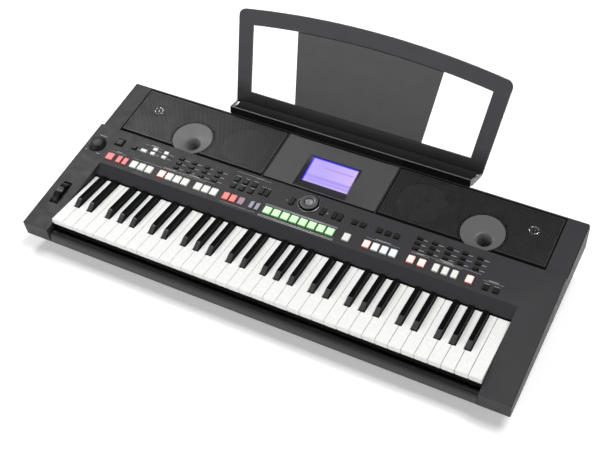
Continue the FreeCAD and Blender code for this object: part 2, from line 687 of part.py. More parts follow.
def black_keys(label, names, octave, octaves=1):
    """Black keys: drafted sides, sloping front, low tail, hollow underside and fulcrum slot."""
    body = new_body(label)
    plan = new_sketch(body, "XY_Plane", [black_outline(name, octave) for name in names], offset=KEY_UNDERSIDE)
    solid = extrude(body, plan, "white_height + black_rise", draft="-black_draft")
    hollow = [black_outline(name, octave, "key_wall", POCKET_END) for name in names]
    inside = new_sketch(body, "XY_Plane", hollow, offset=KEY_UNDERSIDE)
    hollowed = extrude(body, inside, "white_height - key_wall", cut=True, back=True)
    if octaves > 1:
        octave_pattern(body, [solid, hollowed], plan, octaves)
    top = "(key_top + black_rise)"
    bevel = [
        ("black_front", "key_top + key_gap"),
        ("black_front + black_bevel", top),
        ("black_front + black_bevel", f"{top} + key_gap"),
        ("black_front - key_gap", f"{top} + key_gap"),
        ("black_front - key_gap", "key_top + key_gap"),
    ]
    low_tail = rectangle("black_end", "key_top", "key_length + key_wall", f"{top} + key_gap")
    side = new_sketch(body, "YZ_Plane", [bevel, low_tail, fulcrum_slot()])
    body.Tip = extrude(body, side, f"{SPAN} * 2", symmetric=True, cut=True)
    return piece(body, label)


def keyboard():
    """One octave of single keys in the middle, and the octaves below and above as groups."""
    letters = list(WHITE_NEIGHBOURS)
    names = list(BLACK_PLACES)
    for letter in letters:
        white_keys(f"key_{letter}", [letter], MIDDLE_OCTAVE)
    for name in names:
        black_keys(f"key_{name}", [name], MIDDLE_OCTAVE)
    octaves_above = OCTAVES - MIDDLE_OCTAVE - 1
    white_keys("white_keys_low", letters, 0, MIDDLE_OCTAVE)
    black_keys("black_keys_low", names, 0, MIDDLE_OCTAVE)
    white_keys("white_keys_high", letters, MIDDLE_OCTAVE + 1, octaves_above, last_key=True)
    black_keys("black_keys_high", names, MIDDLE_OCTAVE + 1, octaves_above)


# Key action

BOARD_Z = "(key_top - board_drop)"
FELT_TOP = f"({KEY_UNDERSIDE} - key_dip * (fulcrum - chassis_front) / fulcrum - stop_clearance)"
FLANGE = f"({FELT_TOP} - felt_height)"
FULCRUM_REAR = "(fulcrum + fulcrum_width / 2)"
FULCRUM_FACE = "(fulcrum - fulcrum_width / 2)"
ACTION_LENGTH = f"({SPAN} - key_gap)"


def profile_piece(label, outline, length):
    """A piece of constant section along X."""
    body = new_body(label)
    extrude(body, new_sketch(body, "YZ_Plane", [outline]), length, symmetric=True)
    return body


def key_chassis():
    """Pressed sheet: stop flange at the front, fulcrum rail at the rear, two ribs for the contact board."""
    section = [
        ("chassis_front", CHASSIS),
        (FULCRUM_REAR, CHASSIS),
        (FULCRUM_REAR, FULCRUM_TOP),
        (FULCRUM_FACE, FULCRUM_TOP),
        (FULCRUM_FACE, f"{CHASSIS} + chassis_sheet"),
        ("chassis_front + chassis_sheet", f"{CHASSIS} + chassis_sheet"),
        ("chassis_front + chassis_sheet", f"{FLANGE} - chassis_sheet"),
        ("chassis_front + stop_width", f"{FLANGE} - chassis_sheet"),
        ("chassis_front + stop_width", FLANGE),
        ("chassis_front", FLANGE),
    ]
    body = profile_piece("key_chassis", section, ACTION_LENGTH)
    front_rib = "(board_front + rib_inset)"
    rear_rib = "(board_front + board_depth - rib_inset - chassis_sheet)"
    ribs = [rectangle(place, CHASSIS, f"{place} + chassis_sheet", BOARD_Z) for place in (front_rib, rear_rib)]
    body.Tip = extrude(body, new_sketch(body, "YZ_Plane", ribs), ACTION_LENGTH, symmetric=True)
    piece(body, "key_chassis")


def key_contacts():
    """Circuit board, rubber strip with a contact ridge under the keys, and the stop felt."""
    board_top = f"({BOARD_Z} + board_sheet)"
    board = rectangle("board_front", BOARD_Z, "board_front + board_depth", board_top)
    piece(profile_piece("key_contact_board", board, ACTION_LENGTH), "key_contact_board")
    middle = "(board_front + board_depth / 2)"
    web_top = f"({board_top} + strip_sheet)"
    strip = [
        (f"{middle} - strip_depth / 2", board_top),
        (f"{middle} + strip_depth / 2", board_top),
        (f"{middle} + strip_depth / 2", web_top),
        (f"{middle} + ridge_width / 2", web_top),
        (f"{middle} + ridge_width / 4", f"{web_top} + ridge_height"),
        (f"{middle} - ridge_width / 4", f"{web_top} + ridge_height"),
        (f"{middle} - ridge_width / 2", web_top),
        (f"{middle} - strip_depth / 2", web_top),
    ]
    piece(profile_piece("key_contact_strip", strip, ACTION_LENGTH), "key_contact_strip")
    felt = rectangle("chassis_front", FLANGE, "chassis_front + stop_width", FELT_TOP)
    piece(profile_piece("key_stop_felt", felt, ACTION_LENGTH), "key_stop_felt")


# Controls on the sloped panel: each group is a list of (x, place along the panel, width, depth)


def row_of(first, pitch, count, width, place="row_place", depth="row_depth"):
    return [(f"({first} + {index} * {pitch})", place, width, depth) for index in range(count)]


def grid_of(first, pitch, columns, step, rows, width, depth):
    """Columns across the panel and rows along it, about the middle of the upper button area."""
    spread = [f"(upper_place + {row - (rows - 1) / 2} * {step})" for row in range(rows)]
    return [cell for place in spread for cell in row_of(first, pitch, columns, width, place, depth)]


POWER_X = f"({VOLUME_X} + power_from_volume)"
BUTTONS = {
    "start_buttons": (
        row_of("start_x", "0", 1, "start_width")
        + row_of("sync_x", "sync_pitch", 2, "sync_width")
    ),
    "style_buttons": row_of("intro_x", "style_pitch", 3, "style_width")
    + row_of("variation_x", "style_pitch", 4, "style_width")
    + row_of("ending_x", "style_pitch", 3, "style_width"),
    "tempo_buttons": row_of("tempo_x", "tempo_pitch", 2, "tempo_width")
    + row_of("metronome_x", "0", 1, "tempo_width")
    + row_of("page_x", "page_pitch", 2, "page_width"),
    "memory_buttons": row_of("memory_x", "memory_pitch", 8, "memory_width"),
    "part_buttons": row_of("freeze_x", "0", 1, "part_width")
    + row_of("part_x", "part_pitch", 4, "part_width")
    + row_of("harmony_x", "harmony_pitch", 2, "part_width")
    + row_of("effect_x", "effect_pitch", 3, "effect_width")
    + row_of("split_x", "0", 1, "part_width"),
    "octave_buttons": row_of("octave_x", "octave_pitch", 2, "octave_width", "octave_place", "octave_depth"),
    "category_buttons": grid_of("style_grid_x", "category_pitch", 4, "category_step", 3, "category_width",
                                "category_depth")
    + grid_of("voice_grid_x", "category_pitch", 5, "category_step", 3, "category_width", "category_depth"),
    "menu_buttons": grid_of("menu_x", "menu_pitch", 3, "menu_step", 2, "menu_width", "menu_depth")
    + row_of("tab_x", "tab_pitch", 2, "tall_width", "upper_place", "tall_depth"),
    "dial_buttons": row_of("-enter_x", "2 * enter_x", 2, "tall_width", "upper_place", "tall_depth")
    + row_of("exit_x", "tab_pitch", 2, "tall_width", "upper_place", "tall_depth")
    + row_of("direct_x", "direct_pitch", 2, "square_width", "upper_place", "square_depth")
    + row_of("usb_x", "direct_pitch", 3, "square_width", "upper_place", "square_depth"),
    "song_buttons": row_of("song_x", "song_pitch", 2, "song_width", "song_place", "song_depth")
    + row_of("song_x", "song_pitch", 2, "song_width", "(song_place + song_step)", "song_depth")
    + row_of("record_x", "0", 1, "record_width", "song_place", "song_depth")
    + row_of("demo_x", "0", 1, "song_width", "song_place", "song_depth"),
    "power_button": row_of(POWER_X, "0", 1, "power_size", "power_place", "power_size"),
}


def on_panel(item, label):
    return piece(item, label, z="panel_datum", tilt="panel_slope")


def buttons():
    """Every button passes through the panel and has a wider foot that stops it from falling out."""
    for label, places in BUTTONS.items():
        body = new_body(label)
        caps = [centred(*place) for place in places]
        extrude_outlines(body, caps, f"{UNDER_PANEL} + button_height", f"-{UNDER_PANEL}")
        feet = [centred(*place, grow="flange_grow") for place in places]
        extrude_outlines(body, feet, "button_stem - flange_gap", f"-{UNDER_PANEL}")
        on_panel(body, label)


KNOB_SIDES = 36
SHAFT_FOOT = "-(wall + pot_depth / 4)"
SHAFT_HOLE = f"((shaft_radius + shaft_clearance) / cos({180 / POST_SIDES}))"


def knob(label, x, place, crown):
    """A crown above the panel, fused with its round shaft through the panel."""
    foot = rectangle("0", SHAFT_FOOT, "shaft_radius", "2 * control_gap")
    shaft = turned(new_body(f"{label}_shaft"), foot)
    control = fused(label, [crown, shaft])
    place_y = f"({place} * cos(panel_slope))"
    place_z = f"(panel_datum + {place} * sin(panel_slope))"
    piece(control, label, place_y, place_z, "panel_slope", x)


def control_body(label, x, place):
    """Body of a potentiometer or encoder, flat against the panel's underside, bored for the shaft."""
    body = new_body(label)
    square = centred(x, place, "pot_size", "pot_size")
    extrude(body, new_sketch(body, "XY_Plane", [square], offset="-(wall + pot_depth)"), "pot_depth")
    bore = new_sketch(body, "XY_Plane", [many_sided(x, place, SHAFT_HOLE)], offset="-wall")
    body.Tip = extrude(body, bore, "pot_depth / 2", cut=True)
    on_panel(body, label)


def turning_controls():
    volume_crown = [
        ("volume_radius", "control_gap"),
        ("volume_radius", "control_gap + volume_skirt"),
        ("volume_top", "volume_height"),
    ]
    knob("volume_knob", VOLUME_X, "volume_place", stacked("volume_crown", volume_crown, KNOB_SIDES))
    control_body("volume_pot", VOLUME_X, "volume_place")
    disc = rod("dial_disc", "0", "0", "control_gap", "dial_radius", "dial_height - control_gap", KNOB_SIDES)
    dish = rod("dial_dish_cut", "0", "0", "dial_height - dial_dish", "dial_radius - dial_rim",
               "2 * dial_dish", KNOB_SIDES)
    knob("data_dial", "0", "dial_place", cut_from("dial_crown", disc, [dish]))
    control_body("dial_encoder", "0", "dial_place")
    inner = "(dial_radius + ring_gap)"
    outside = rod("ring_outside", "0", "dial_place", "0", f"{inner} + ring_width", "ring_height", KNOB_SIDES)
    opening = rod("ring_opening", "0", "dial_place", "-ring_height", inner, "3 * ring_height", KNOB_SIDES)
    on_panel(cut_from("dial_ring", outside, [opening]), "dial_ring")


def panel_boards():
    """Two circuit boards under the buttons, left and right of the dial's encoder."""
    body = new_body("panel_boards")
    rear = "panel_board_front + panel_board_depth"
    plates = [
        rectangle("-panel_board_left", "panel_board_front", "-panel_board_middle", rear),
        rectangle("panel_board_middle", "panel_board_front", "panel_board_right", rear),
    ]
    drop = "-(wall + panel_board_gap + board_sheet)"
    extrude(body, new_sketch(body, "XY_Plane", plates, offset=drop), "board_sheet")
    on_panel(body, "panel_boards")


# Pitch wheel in the left cheek

WHEEL_X = f"(wheel_from_end - {HALF})"
WHEEL_Y = "(wheel_place * cos(panel_slope) + wheel_depth * sin(panel_slope))"
WHEEL_Z = "(panel_datum + wheel_place * sin(panel_slope) - wheel_depth * cos(panel_slope))"
WHEEL_SLOT = "(2 * sqrt(wheel_radius ^ 2 - (wheel_depth - wall) ^ 2))"
EAR_FACE = "(wheel_width / 2 + ear_gap)"
CRADLE_FOOT = f"({WHEEL_Z} - cradle_drop - ear_sheet)"


def mirrored(body, feature, role="YZ_Plane"):
    """Repeats a feature on the other side of one of the body's planes."""
    mirror = body.newObject("PartDesign::Mirrored", f"{body.Name}_mirror")
    mirror.Originals = [feature]
    plane = next(item for item in body.Origin.OriginFeatures if item.Role == role)
    mirror.MirrorPlane = (plane, [""])
    body.Tip = mirror
    return mirror


def pitch_wheel():
    wheel = new_body("pitch_wheel")
    disc = new_sketch(wheel, "YZ_Plane", circles=[("0", "0", "wheel_radius")])
    extrude(wheel, disc, "wheel_width", symmetric=True)
    axle = new_sketch(wheel, "YZ_Plane", [many_sided("0", "0", "axle_radius")])
    extrude(wheel, axle, "wheel_width + 2 * axle_end", symmetric=True)
    notch = new_sketch(wheel, "YZ_Plane", circles=[("0", "wheel_radius + wheel_notch / 4", "wheel_notch")])
    wheel.Tip = extrude(wheel, notch, "wheel_width", symmetric=True, cut=True)
    piece(wheel, "pitch_wheel", WHEEL_Y, WHEEL_Z, x=WHEEL_X)
    cradle = new_body("pitch_wheel_cradle")
    ear = rectangle("-ear_width / 2", "-cradle_drop", "ear_width / 2", "axle_radius + 2 * ear_sheet")
    bearing = many_sided("0", "0", f"(axle_radius + bearing_gap) / cos({180 / POST_SIDES})")
    side = extrude(cradle, new_sketch(cradle, "YZ_Plane", [ear, bearing], offset=EAR_FACE), "ear_sheet")
    mirrored(cradle, side)
    base = rectangle("-ear_width / 2", "-(cradle_drop + ear_sheet)", "ear_width / 2", "-cradle_drop")
    width = f"2 * ({EAR_FACE} + ear_sheet)"
    cradle.Tip = extrude(cradle, new_sketch(cradle, "YZ_Plane", [base]), width, symmetric=True)
    piece(cradle, "pitch_wheel_cradle", WHEEL_Y, WHEEL_Z, x=WHEEL_X)


# Speaker deck

GRILLE_OUTER = f"({HALF} - grille_end)"
PORTS = {"left": "port_left_x", "right": "port_right_x"}
SIDES = {"left": -1, "right": 1}
PORT_TUBE = "(port_bore + port_wall)"
PORT_SEAT = "(port_radius + grille_gap / 2)"
TWEETER_X = f"({HALF} - tweeter_from_end)"


def on_deck(item, label, x="0"):
    return piece(item, label, z=DECK_DATUM, tilt="panel_slope", x=x)


def seat_edges(side, grow="0"):
    """Left, front, right and rear edges of a grille's seat in the deck, moved outwards by grow."""
    sign = SIDES[side]
    ends = [f"{sign} * (grille_inner - ({grow}))", f"{sign} * ({GRILLE_OUTER} + ({grow}))"]
    low, high = sorted(ends, key=value)
    return low, f"(grille_front - ({grow}))", high, f"(grille_rear + ({grow}))"


def grille_seat(side, grow="0"):
    """Plan of a grille's seat in the deck; a negative grow gives the grille itself."""
    return rectangle(*seat_edges(side, grow))


def plate(name, outline, low, height, circles=()):
    body = new_body(name)
    extrude(body, new_sketch(body, "XY_Plane", [outline] if outline else [], circles, offset=low), height)
    return body


def grilles():
    """Sheet grilles with a folded rim, cut round the port rings."""
    for side, port_x in PORTS.items():
        label = f"grille_{side}"
        sheet_part = plate(f"{label}_sheet", grille_seat(side, "-grille_gap"), "-deck_inset", "deck_inset")
        port_cut = plate(f"{label}_port", None, "-2 * deck_inset", "4 * deck_inset",
                         [(port_x, "port_place", PORT_SEAT)])
        west, front, east, rear = seat_edges(side, "-(grille_gap + grille_rim)")
        port_edge = f"({PORT_SEAT} + grille_rim)"
        hollows = [rectangle(west, front, f"{port_x} - {port_edge}", rear),
                   rectangle(f"{port_x} + {port_edge}", front, east, rear)]
        below = new_body(f"{label}_below")
        sketch = new_sketch(below, "XY_Plane", hollows, offset="-2 * deck_inset")
        extrude(below, sketch, "2 * deck_inset - grille_sheet")
        on_deck(cut_from(label, sheet_part, [port_cut, below]), label)


TUBE_SIDES = 16
DRIVER_SIDES = 24


def port_rings():
    """Flat discs with an off-centre bore that runs on into a tube below the deck."""
    for side, port_x in PORTS.items():
        label = f"port_ring_{side}"
        body = new_body(label)
        centre = ("0", "port_place", "port_radius")
        bore = ("port_shift_x", "port_place + port_shift_y", "port_bore")
        tube = many_sided("port_shift_x", "port_place + port_shift_y", PORT_TUBE, TUBE_SIDES)
        disc = new_sketch(body, "XY_Plane", circles=[centre, bore], offset="-deck_inset")
        extrude(body, disc, "deck_inset + port_rise")
        below = new_sketch(body, "XY_Plane", [tube], [bore], offset="-port_length")
        body.Tip = extrude(body, below, "port_length - deck_inset")
        on_deck(body, label, port_x)


def speakers():
    """Cone and dome drivers hung under the deck, each a many-sided round form."""
    top = "-deck_thickness"
    basket = [
        ("magnet_radius", f"{top} - woofer_depth"),
        ("magnet_radius", f"{top} - woofer_depth + magnet_height"),
        ("woofer_frame", top),
    ]
    cone_slope = widening("woofer_cone", "woofer_coil", "woofer_sink", DRIVER_SIDES)
    housing = [("tweeter_frame", f"{top} - tweeter_depth"), ("tweeter_frame", top)]
    dome = [("tweeter_dome", top), ("tweeter_crown", f"{top} + tweeter_rise")]
    woofers = []
    tweeters = []
    for side, sign in SIDES.items():
        woofer = stacked(f"woofer_{side}", basket, DRIVER_SIDES)
        mouth = many_sided("0", "0", "woofer_cone", DRIVER_SIDES)
        cone = new_sketch(woofer, "XY_Plane", [mouth], offset=top)
        woofer.Tip = extrude(woofer, cone, "woofer_sink", cut=True, draft=cone_slope)
        woofers.append(seat(woofer, "woofer_place", x=f"{sign} * woofer_x"))
        body = stacked(f"tweeter_housing_{side}", housing, DRIVER_SIDES)
        crown = stacked(f"tweeter_dome_{side}", dome, DRIVER_SIDES)
        tweeter = fused(f"tweeter_{side}", [body, crown])
        tweeters.append(seat(tweeter, "tweeter_place", x=f"{sign} * {TWEETER_X}"))
    on_deck(grouped("woofers", woofers), "woofers")
    on_deck(grouped("tweeters", tweeters), "tweeters")


# Display

WINDOW_PLACE = f"(window_y * cos(panel_slope) + (window_z - {DECK_DATUM}) * sin(panel_slope))"
WINDOW_SINK = f"((window_z - {DECK_DATUM}) * cos(panel_slope) - window_y * sin(panel_slope))"
WINDOW_TURN = "(window_tilt - panel_slope)"


def sill_outline(grow="0"):
    """Plan of the sunk frame at the deck, moved outwards by grow."""
    half = f"(sill_half + {grow})"
    return rectangle(f"-{half}", f"sill_front - ({grow})", half, f"sill_rear + ({grow})")


def window_outline(grow="0"):
    return centred("0", "0", "(2 * window_half)", "window_depth", grow)


def display():
    """Display panel with a sunk frame, the window at the bottom of the frame and the module behind it."""
    half = "(display_half - grille_gap)"
    face = rectangle(f"-{half}", "display_front + grille_gap", half, "grille_rear - grille_gap")
    face_plate = plate("display_face", face, "-deck_inset", "deck_inset")
    frame_block = plate("display_block", sill_outline("sill_wall"), "-sill_drop", "sill_drop")
    funnel = new_body("display_funnel")
    mouth = new_sketch(funnel, "XY_Plane", [sill_outline()])
    floor = new_sketch(funnel, "XY_Plane", [window_outline()])
    floor.AttachmentOffset = Placement(Vector(), Rotation(Vector(1, 0, 0), 1))
    floor.setExpression("AttachmentOffset.Base.y", bound(WINDOW_PLACE))
    floor.setExpression("AttachmentOffset.Base.z", bound(WINDOW_SINK))
    floor.setExpression("AttachmentOffset.Rotation.Angle", bound(WINDOW_TURN))
    loft = funnel.newObject("PartDesign::AdditiveLoft", "display_funnel_loft")
    loft.Profile = mouth
    loft.Sections = [floor]
    loft.Ruled = True
    below_outline = centred("0", "0", "4 * window_half", "4 * window_depth")
    below = plate("display_below", below_outline, "-window_half", "window_half")
    seat(below, WINDOW_PLACE, WINDOW_SINK, WINDOW_TURN)
    solid = fused("display_solid", [face_plate, frame_block])
    on_deck(cut_from("display_panel", solid, [funnel, below]), "display_panel")
    for label, low, height in (("display_window", "-window_sheet", "window_sheet"),
                               ("display_module", "-(window_sheet + module_depth)", "module_depth")):
        sheet_part = plate(label, window_outline("window_margin"), low, height)
        piece(sheet_part, label, "window_y", "window_z", "window_tilt")


# Music rest

SEAT = "(rest_z - trough_sheet)"
TONGUE_Y = "(rear_wall + socket_wall + tongue_gap)"
ARCH_RISE = "(rest_height - rest_shoulder)"
ARCH = f"((rest_top_half ^ 2 + {ARCH_RISE} ^ 2) / (2 * {ARCH_RISE}))"
INNER_ARCH = f"({ARCH} - rest_bar)"


def rest_half(along):
    """Half the width of the rest at a height along it."""
    return f"(rest_foot_half + (rest_top_half - rest_foot_half) * ({along}) / rest_shoulder)"


def under_arch(x):
    """Height along the rest of the inner arch, at a distance from the middle."""
    return f"(rest_height - {ARCH} + sqrt({INNER_ARCH} ^ 2 - ({x}) ^ 2))"


def round_corners(body, radius, points):
    """Rounds the edges of a plate that stand at the given plan points."""
    doc.recompute()
    base = body.Tip
    places = [(value(x), value(y)) for x, y in points]
    chosen = []
    for index, edge in enumerate(base.Shape.Edges, start=1):
        ends = [vertex.Point for vertex in edge.Vertexes]
        upright = len(ends) == 2 and abs(ends[0].x - ends[1].x) + abs(ends[0].y - ends[1].y) < 1e-6
        if upright and any(abs(ends[0].x - x) + abs(ends[0].y - y) < 1e-3 for x, y in places):
            chosen.append(f"Edge{index}")
    fillet = body.newObject("PartDesign::Fillet", f"{body.Name}_corners")
    fillet.Base = (base, chosen)
    fillet.setExpression("Radius", bound(radius))
    body.Tip = fillet


def music_rest():
    """Arched frame with two windows, a trough along its foot and two tongues below it."""
    frame = new_body("rest_frame")
    outline = [
        ("-rest_foot_half", "0"),
        ("rest_foot_half", "0"),
        ("rest_top_half", "rest_shoulder", (ARCH, -1)),
        ("-rest_top_half", "rest_shoulder"),
    ]
    extrude(frame, new_sketch(frame, "XY_Plane", [outline], offset="-rest_sheet"), "rest_sheet")
    shoulders = [("rest_top_half", "rest_shoulder"), ("-rest_top_half", "rest_shoulder")]
    round_corners(frame, "rest_corner", shoulders)
    outer_foot = f"({rest_half('rest_sill')} - rest_bar)"
    outer_top = f"({rest_half('rest_shoulder - rest_bar')} - rest_bar)"
    window = [
        ("insert_foot", "rest_sill"),
        (outer_foot, "rest_sill"),
        (outer_top, under_arch(outer_top), (INNER_ARCH, -1)),
        ("insert_top", under_arch("insert_top")),
    ]
    right = extrude(frame, new_sketch(frame, "XY_Plane", [window]), "rest_sheet", cut=True)
    mirrored(frame, right)
    centre_top = under_arch("insert_top")
    recess = [
        ("-insert_foot", "rest_sill"),
        ("insert_foot", "rest_sill"),
        ("insert_top", centre_top, (INNER_ARCH, -1)),
        ("-insert_top", centre_top),
    ]
    frame.Tip = extrude(frame, new_sketch(frame, "XY_Plane", [recess]), "insert_sheet", cut=True)
    seat(frame, "rest_y", "rest_z", "90 - rest_tilt")
    lip = "(rest_y - trough_lip)"
    lip_top = "(rest_z + trough_rise)"
    trough_section = [
        (f"{lip} + trough_sag / 5", SEAT),
        ("rest_y + rest_sheet", SEAT),
        ("rest_y + rest_sheet", "rest_z + rest_sheet / 2"),
        ("rest_y + rest_sheet / 2", "rest_z + rest_sheet", ("trough_sag", 1)),
        (f"{lip} + trough_sheet", lip_top),
        (lip, lip_top),
        (lip, "rest_z + trough_sheet / 2"),
    ]
    trough = profile_piece("rest_trough", trough_section, "2 * trough_half")
    tongues = [
        block(f"rest_tongue_{side}", f"{sign} * tongue_x - tongue_width / 2", TONGUE_Y,
              f"{SEAT} - tongue_length", "tongue_width", "tongue_sheet", "tongue_length + trough_sheet / 2")
        for side, sign in SIDES.items()
    ]
    piece(fused("music_rest", [frame, trough] + tongues), "music_rest")
    insert = new_body("music_rest_insert")
    low = "(rest_sill + insert_gap)"
    high = f"({centre_top} - insert_gap)"
    face = [
        ("-insert_foot", low),
        ("insert_foot", low),
        ("insert_top", high, (INNER_ARCH, -1)),
        ("-insert_top", high),
    ]
    extrude(insert, new_sketch(insert, "XY_Plane", [face], offset="-insert_sheet"), "insert_sheet")
    piece(insert, "music_rest_insert", "rest_y", "rest_z", "90 - rest_tilt")


# Case

POST_PLACES = [
    (f"({HALF} - post_front_end)", "post_front"),
    (f"({HALF} - post_rear_end)", "post_rear"),
    ("post_middle", "post_rear"),
]
POSTS = [(f"{sign} * {x}", y) for x, y in POST_PLACES for sign in SIDES.values()]
BOSS_TOP = f"({FLOOR} + boss_height)"
OPENING_SIDES = 16
CHEEK_END = "(panel_front + cheek_overlap)"


def upper_shell():
    """Side profile of cheeks, panel and deck over the full width, hollowed from below."""
    body = new_body("upper_shell")
    deck_rear_z = deck_z("deck_rear")
    outside = [
        ("cheek_foot", parting_z("cheek_foot")),
        ("cheek_front", panel_z("cheek_front")),
        ("panel_rear", panel_z("panel_rear")),
        ("panel_rear", deck_z("panel_rear")),
        ("deck_rear", deck_rear_z),
        ("rear_wall", f"{deck_rear_z} - rear_chamfer"),
        ("rear_wall", parting_z("rear_wall")),
    ]
    outer = extrude(body, new_sketch(body, "YZ_Plane", [outside]), f"2 * {HALF}", symmetric=True)
    step = "(panel_rear - wall)"
    inside = [
        ("cheek_foot + wall", f"{parting_z('cheek_foot + wall')} - wall"),
        ("cheek_front + 2 * wall", f"{panel_z('cheek_front + 2 * wall')} - wall / cos(panel_slope)"),
        (step, f"{panel_z(step)} - wall / cos(panel_slope)"),
        (step, f"{deck_z(step)} - deck_thickness / cos(panel_slope)"),
        ("deck_rear - wall", f"{deck_z('deck_rear - wall')} - deck_thickness / cos(panel_slope)"),
        ("rear_wall - wall", f"{deck_rear_z} - rear_chamfer - wall"),
        ("rear_wall - wall", f"{parting_z('rear_wall - wall')} - wall"),
    ]
    doc.recompute()
    half = value(HALF)
    parting = value("tan(parting_slope)")
    chosen = []
    for index, edge in enumerate(outer.Shape.Edges, start=1):
        ends = [vertex.Point for vertex in edge.Vertexes]
        on_side = all(abs(abs(point.x) - half) < 1e-3 for point in ends)
        on_rim = all(abs(point.z - value("parting_datum") - point.y * parting) < 1e-3 for point in ends)
        upright = abs(ends[0].y - ends[1].y) < 1e-3
        if on_side and not on_rim and not upright:
            chosen.append(f"Edge{index}")
    fillet = body.newObject("PartDesign::Fillet", "upper_shell_rounds")
    fillet.Base = (outer, chosen)
    fillet.setExpression("Radius", bound("edge_round"))
    body.Tip = fillet
    hollow = new_sketch(body, "YZ_Plane", [inside])
    body.Tip = extrude(body, hollow, f"2 * ({HALF} - wall)", symmetric=True, cut=True)
    return body


def cheek_walls():
    """Inner walls of the two cheeks, and the sloping fallboard between them."""
    body = new_body("cheek_walls")
    outline = [
        ("cheek_foot", parting_z("cheek_foot")),
        ("cheek_front", panel_z("cheek_front")),
        (CHEEK_END, panel_z(CHEEK_END)),
        (CHEEK_END, parting_z(CHEEK_END)),
    ]
    side = extrude(body, new_sketch(body, "YZ_Plane", [outline], offset=WELL), "wall")
    mirrored(body, side)
    fallboard = [
        ("panel_front", panel_z("panel_front")),
        ("fallboard_tip", "fallboard_height"),
        ("fallboard_tip", "fallboard_height - fallboard_lip"),
        ("panel_front", f"{panel_z('panel_front')} - wall / cos(panel_slope)"),
    ]
    sketch = new_sketch(body, "YZ_Plane", [fallboard])
    body.Tip = extrude(body, sketch, f"2 * ({WELL} + wall)", symmetric=True)
    return body


def screw_posts():
    """Posts from the roof of the upper case down to the bosses of the lower case, bored for the screws."""
    posts = []
    for index, (x, y) in enumerate(POSTS):
        roof = f"({panel_z(y)} - wall)" if y == "post_front" else f"({deck_z(y)} - deck_thickness)"
        height = f"{roof} - {BOSS_TOP} + wall / 2"
        posts.append(rod(f"screw_post_{index}", x, y, BOSS_TOP, "post_radius", height))
    return posts


def rest_sockets():
    """Blocks on the rear wall that take the tongues of the music rest, and the slots in them."""
    depth = "(2 * socket_wall + 2 * tongue_gap + tongue_sheet)"
    width = "(tongue_width + 2 * tongue_gap + 2 * socket_wall)"
    drop = "(tongue_length + tongue_gap + socket_wall)"
    blocks = []
    slots = []
    for side, sign in SIDES.items():
        centre = f"{sign} * tongue_x"
        blocks.append(block(f"socket_{side}", f"{centre} - {width} / 2", "rear_wall - wall / 2",
                            f"{SEAT} - {drop}", width, f"{depth} + wall / 2", drop))
        slots.append(block(f"socket_slot_{side}", f"{centre} - tongue_width / 2 - tongue_gap",
                           f"{TONGUE_Y} - tongue_gap", f"{SEAT} - tongue_length - tongue_gap",
                           "tongue_width + 2 * tongue_gap", "tongue_sheet + 2 * tongue_gap",
                           "2 * tongue_length"))
    return blocks, slots


def board_posts():
    """Short posts under the panel that carry the panel boards."""
    places = []
    for sign, end in ((-1, "panel_board_left"), (1, "panel_board_right")):
        inner = "(panel_board_middle + board_post_inset)"
        outer = f"({end} - board_post_inset)"
        places += [f"{sign} * {inner}", f"{sign} * ({inner} + {outer}) / 2", f"{sign} * {outer}"]
    body = new_body("board_posts")
    squares = [centred(x, "board_post_place", "board_post_width", "board_post_width") for x in places]
    extrude_outlines(body, squares, "panel_board_gap + wall / 2", "-(wall + panel_board_gap)")
    return seat(body, z="panel_datum", tilt="panel_slope")


def panel_holes():
    """Cuts through the sloped panel for the buttons, the shafts and the pitch wheel."""
    body = new_body("panel_holes")
    loops = [centred(*place, grow="button_gap") for places in BUTTONS.values() for place in places]
    loops.append(centred(WHEEL_X, "wheel_place", "wheel_width", WHEEL_SLOT, "wheel_gap"))
    loops.append(many_sided(VOLUME_X, "volume_place", SHAFT_HOLE))
    loops.append(many_sided("0", "dial_place", SHAFT_HOLE))
    extrude_outlines(body, loops, "4 * wall", symmetric=True)
    return seat(body, z="panel_datum", tilt="panel_slope")


def deck_opening(name, x, place, radius):
    """A many-sided cutter square to the deck, from under it to above it; the radius is to its flats."""
    low = "(2 * deck_thickness)"
    y = f"({place} * cos(panel_slope) + {low} * sin(panel_slope))"
    z = f"({DECK_DATUM} + {place} * sin(panel_slope) - {low} * cos(panel_slope))"
    corner = f"({radius}) / cos({180 / OPENING_SIDES})"
    return rod(name, x, y, z, corner, "4 * deck_thickness", OPENING_SIDES, "panel_slope")


def deck_holes():
    """Seats for the grilles, port rings and display panel, and the holes through the deck under them."""
    seats = [grille_seat(side) for side in SIDES]
    seats.append(rectangle("-display_half", "display_front", "display_half", "grille_rear"))
    tools = []
    for index, outline in enumerate(seats):
        tools.append(plate(f"deck_seat_{index}", outline, "-deck_inset", "2 * deck_inset"))
    discs = [(x, "port_place", PORT_SEAT) for x in PORTS.values()]
    tools.append(plate("port_seats", None, "-deck_inset", "2 * deck_inset", discs))
    through = sill_outline("sill_wall + sill_gap")
    tools.append(plate("deck_through", through, "-3 * deck_thickness", "4 * deck_thickness"))
    for tool in tools:
        seat(tool, z=DECK_DATUM, tilt="panel_slope")
    for side, sign in SIDES.items():
        port_x = f"({PORTS[side]} + port_shift_x)"
        port_hole = f"({PORT_TUBE} + port_gap)"
        tools += [
            deck_opening(f"woofer_hole_{side}", f"{sign} * woofer_x", "woofer_place", "woofer_cone"),
            deck_opening(f"tweeter_hole_{side}", f"{sign} * {TWEETER_X}", "tweeter_place", "tweeter_dome"),
            deck_opening(f"port_hole_{side}", port_x, "(port_place + port_shift_y)", port_hole),
        ]
    return tools


def screw_bores():
    """Blind holes up the posts, past the ends of the screws."""
    low = f"{BOSS_TOP} - wall"
    radius = "screw_radius + thread_gap"
    bores = []
    for index, (x, y) in enumerate(POSTS):
        bores.append(rod(f"screw_bore_{index}", x, y, low, radius, "screw_length"))
    return bores


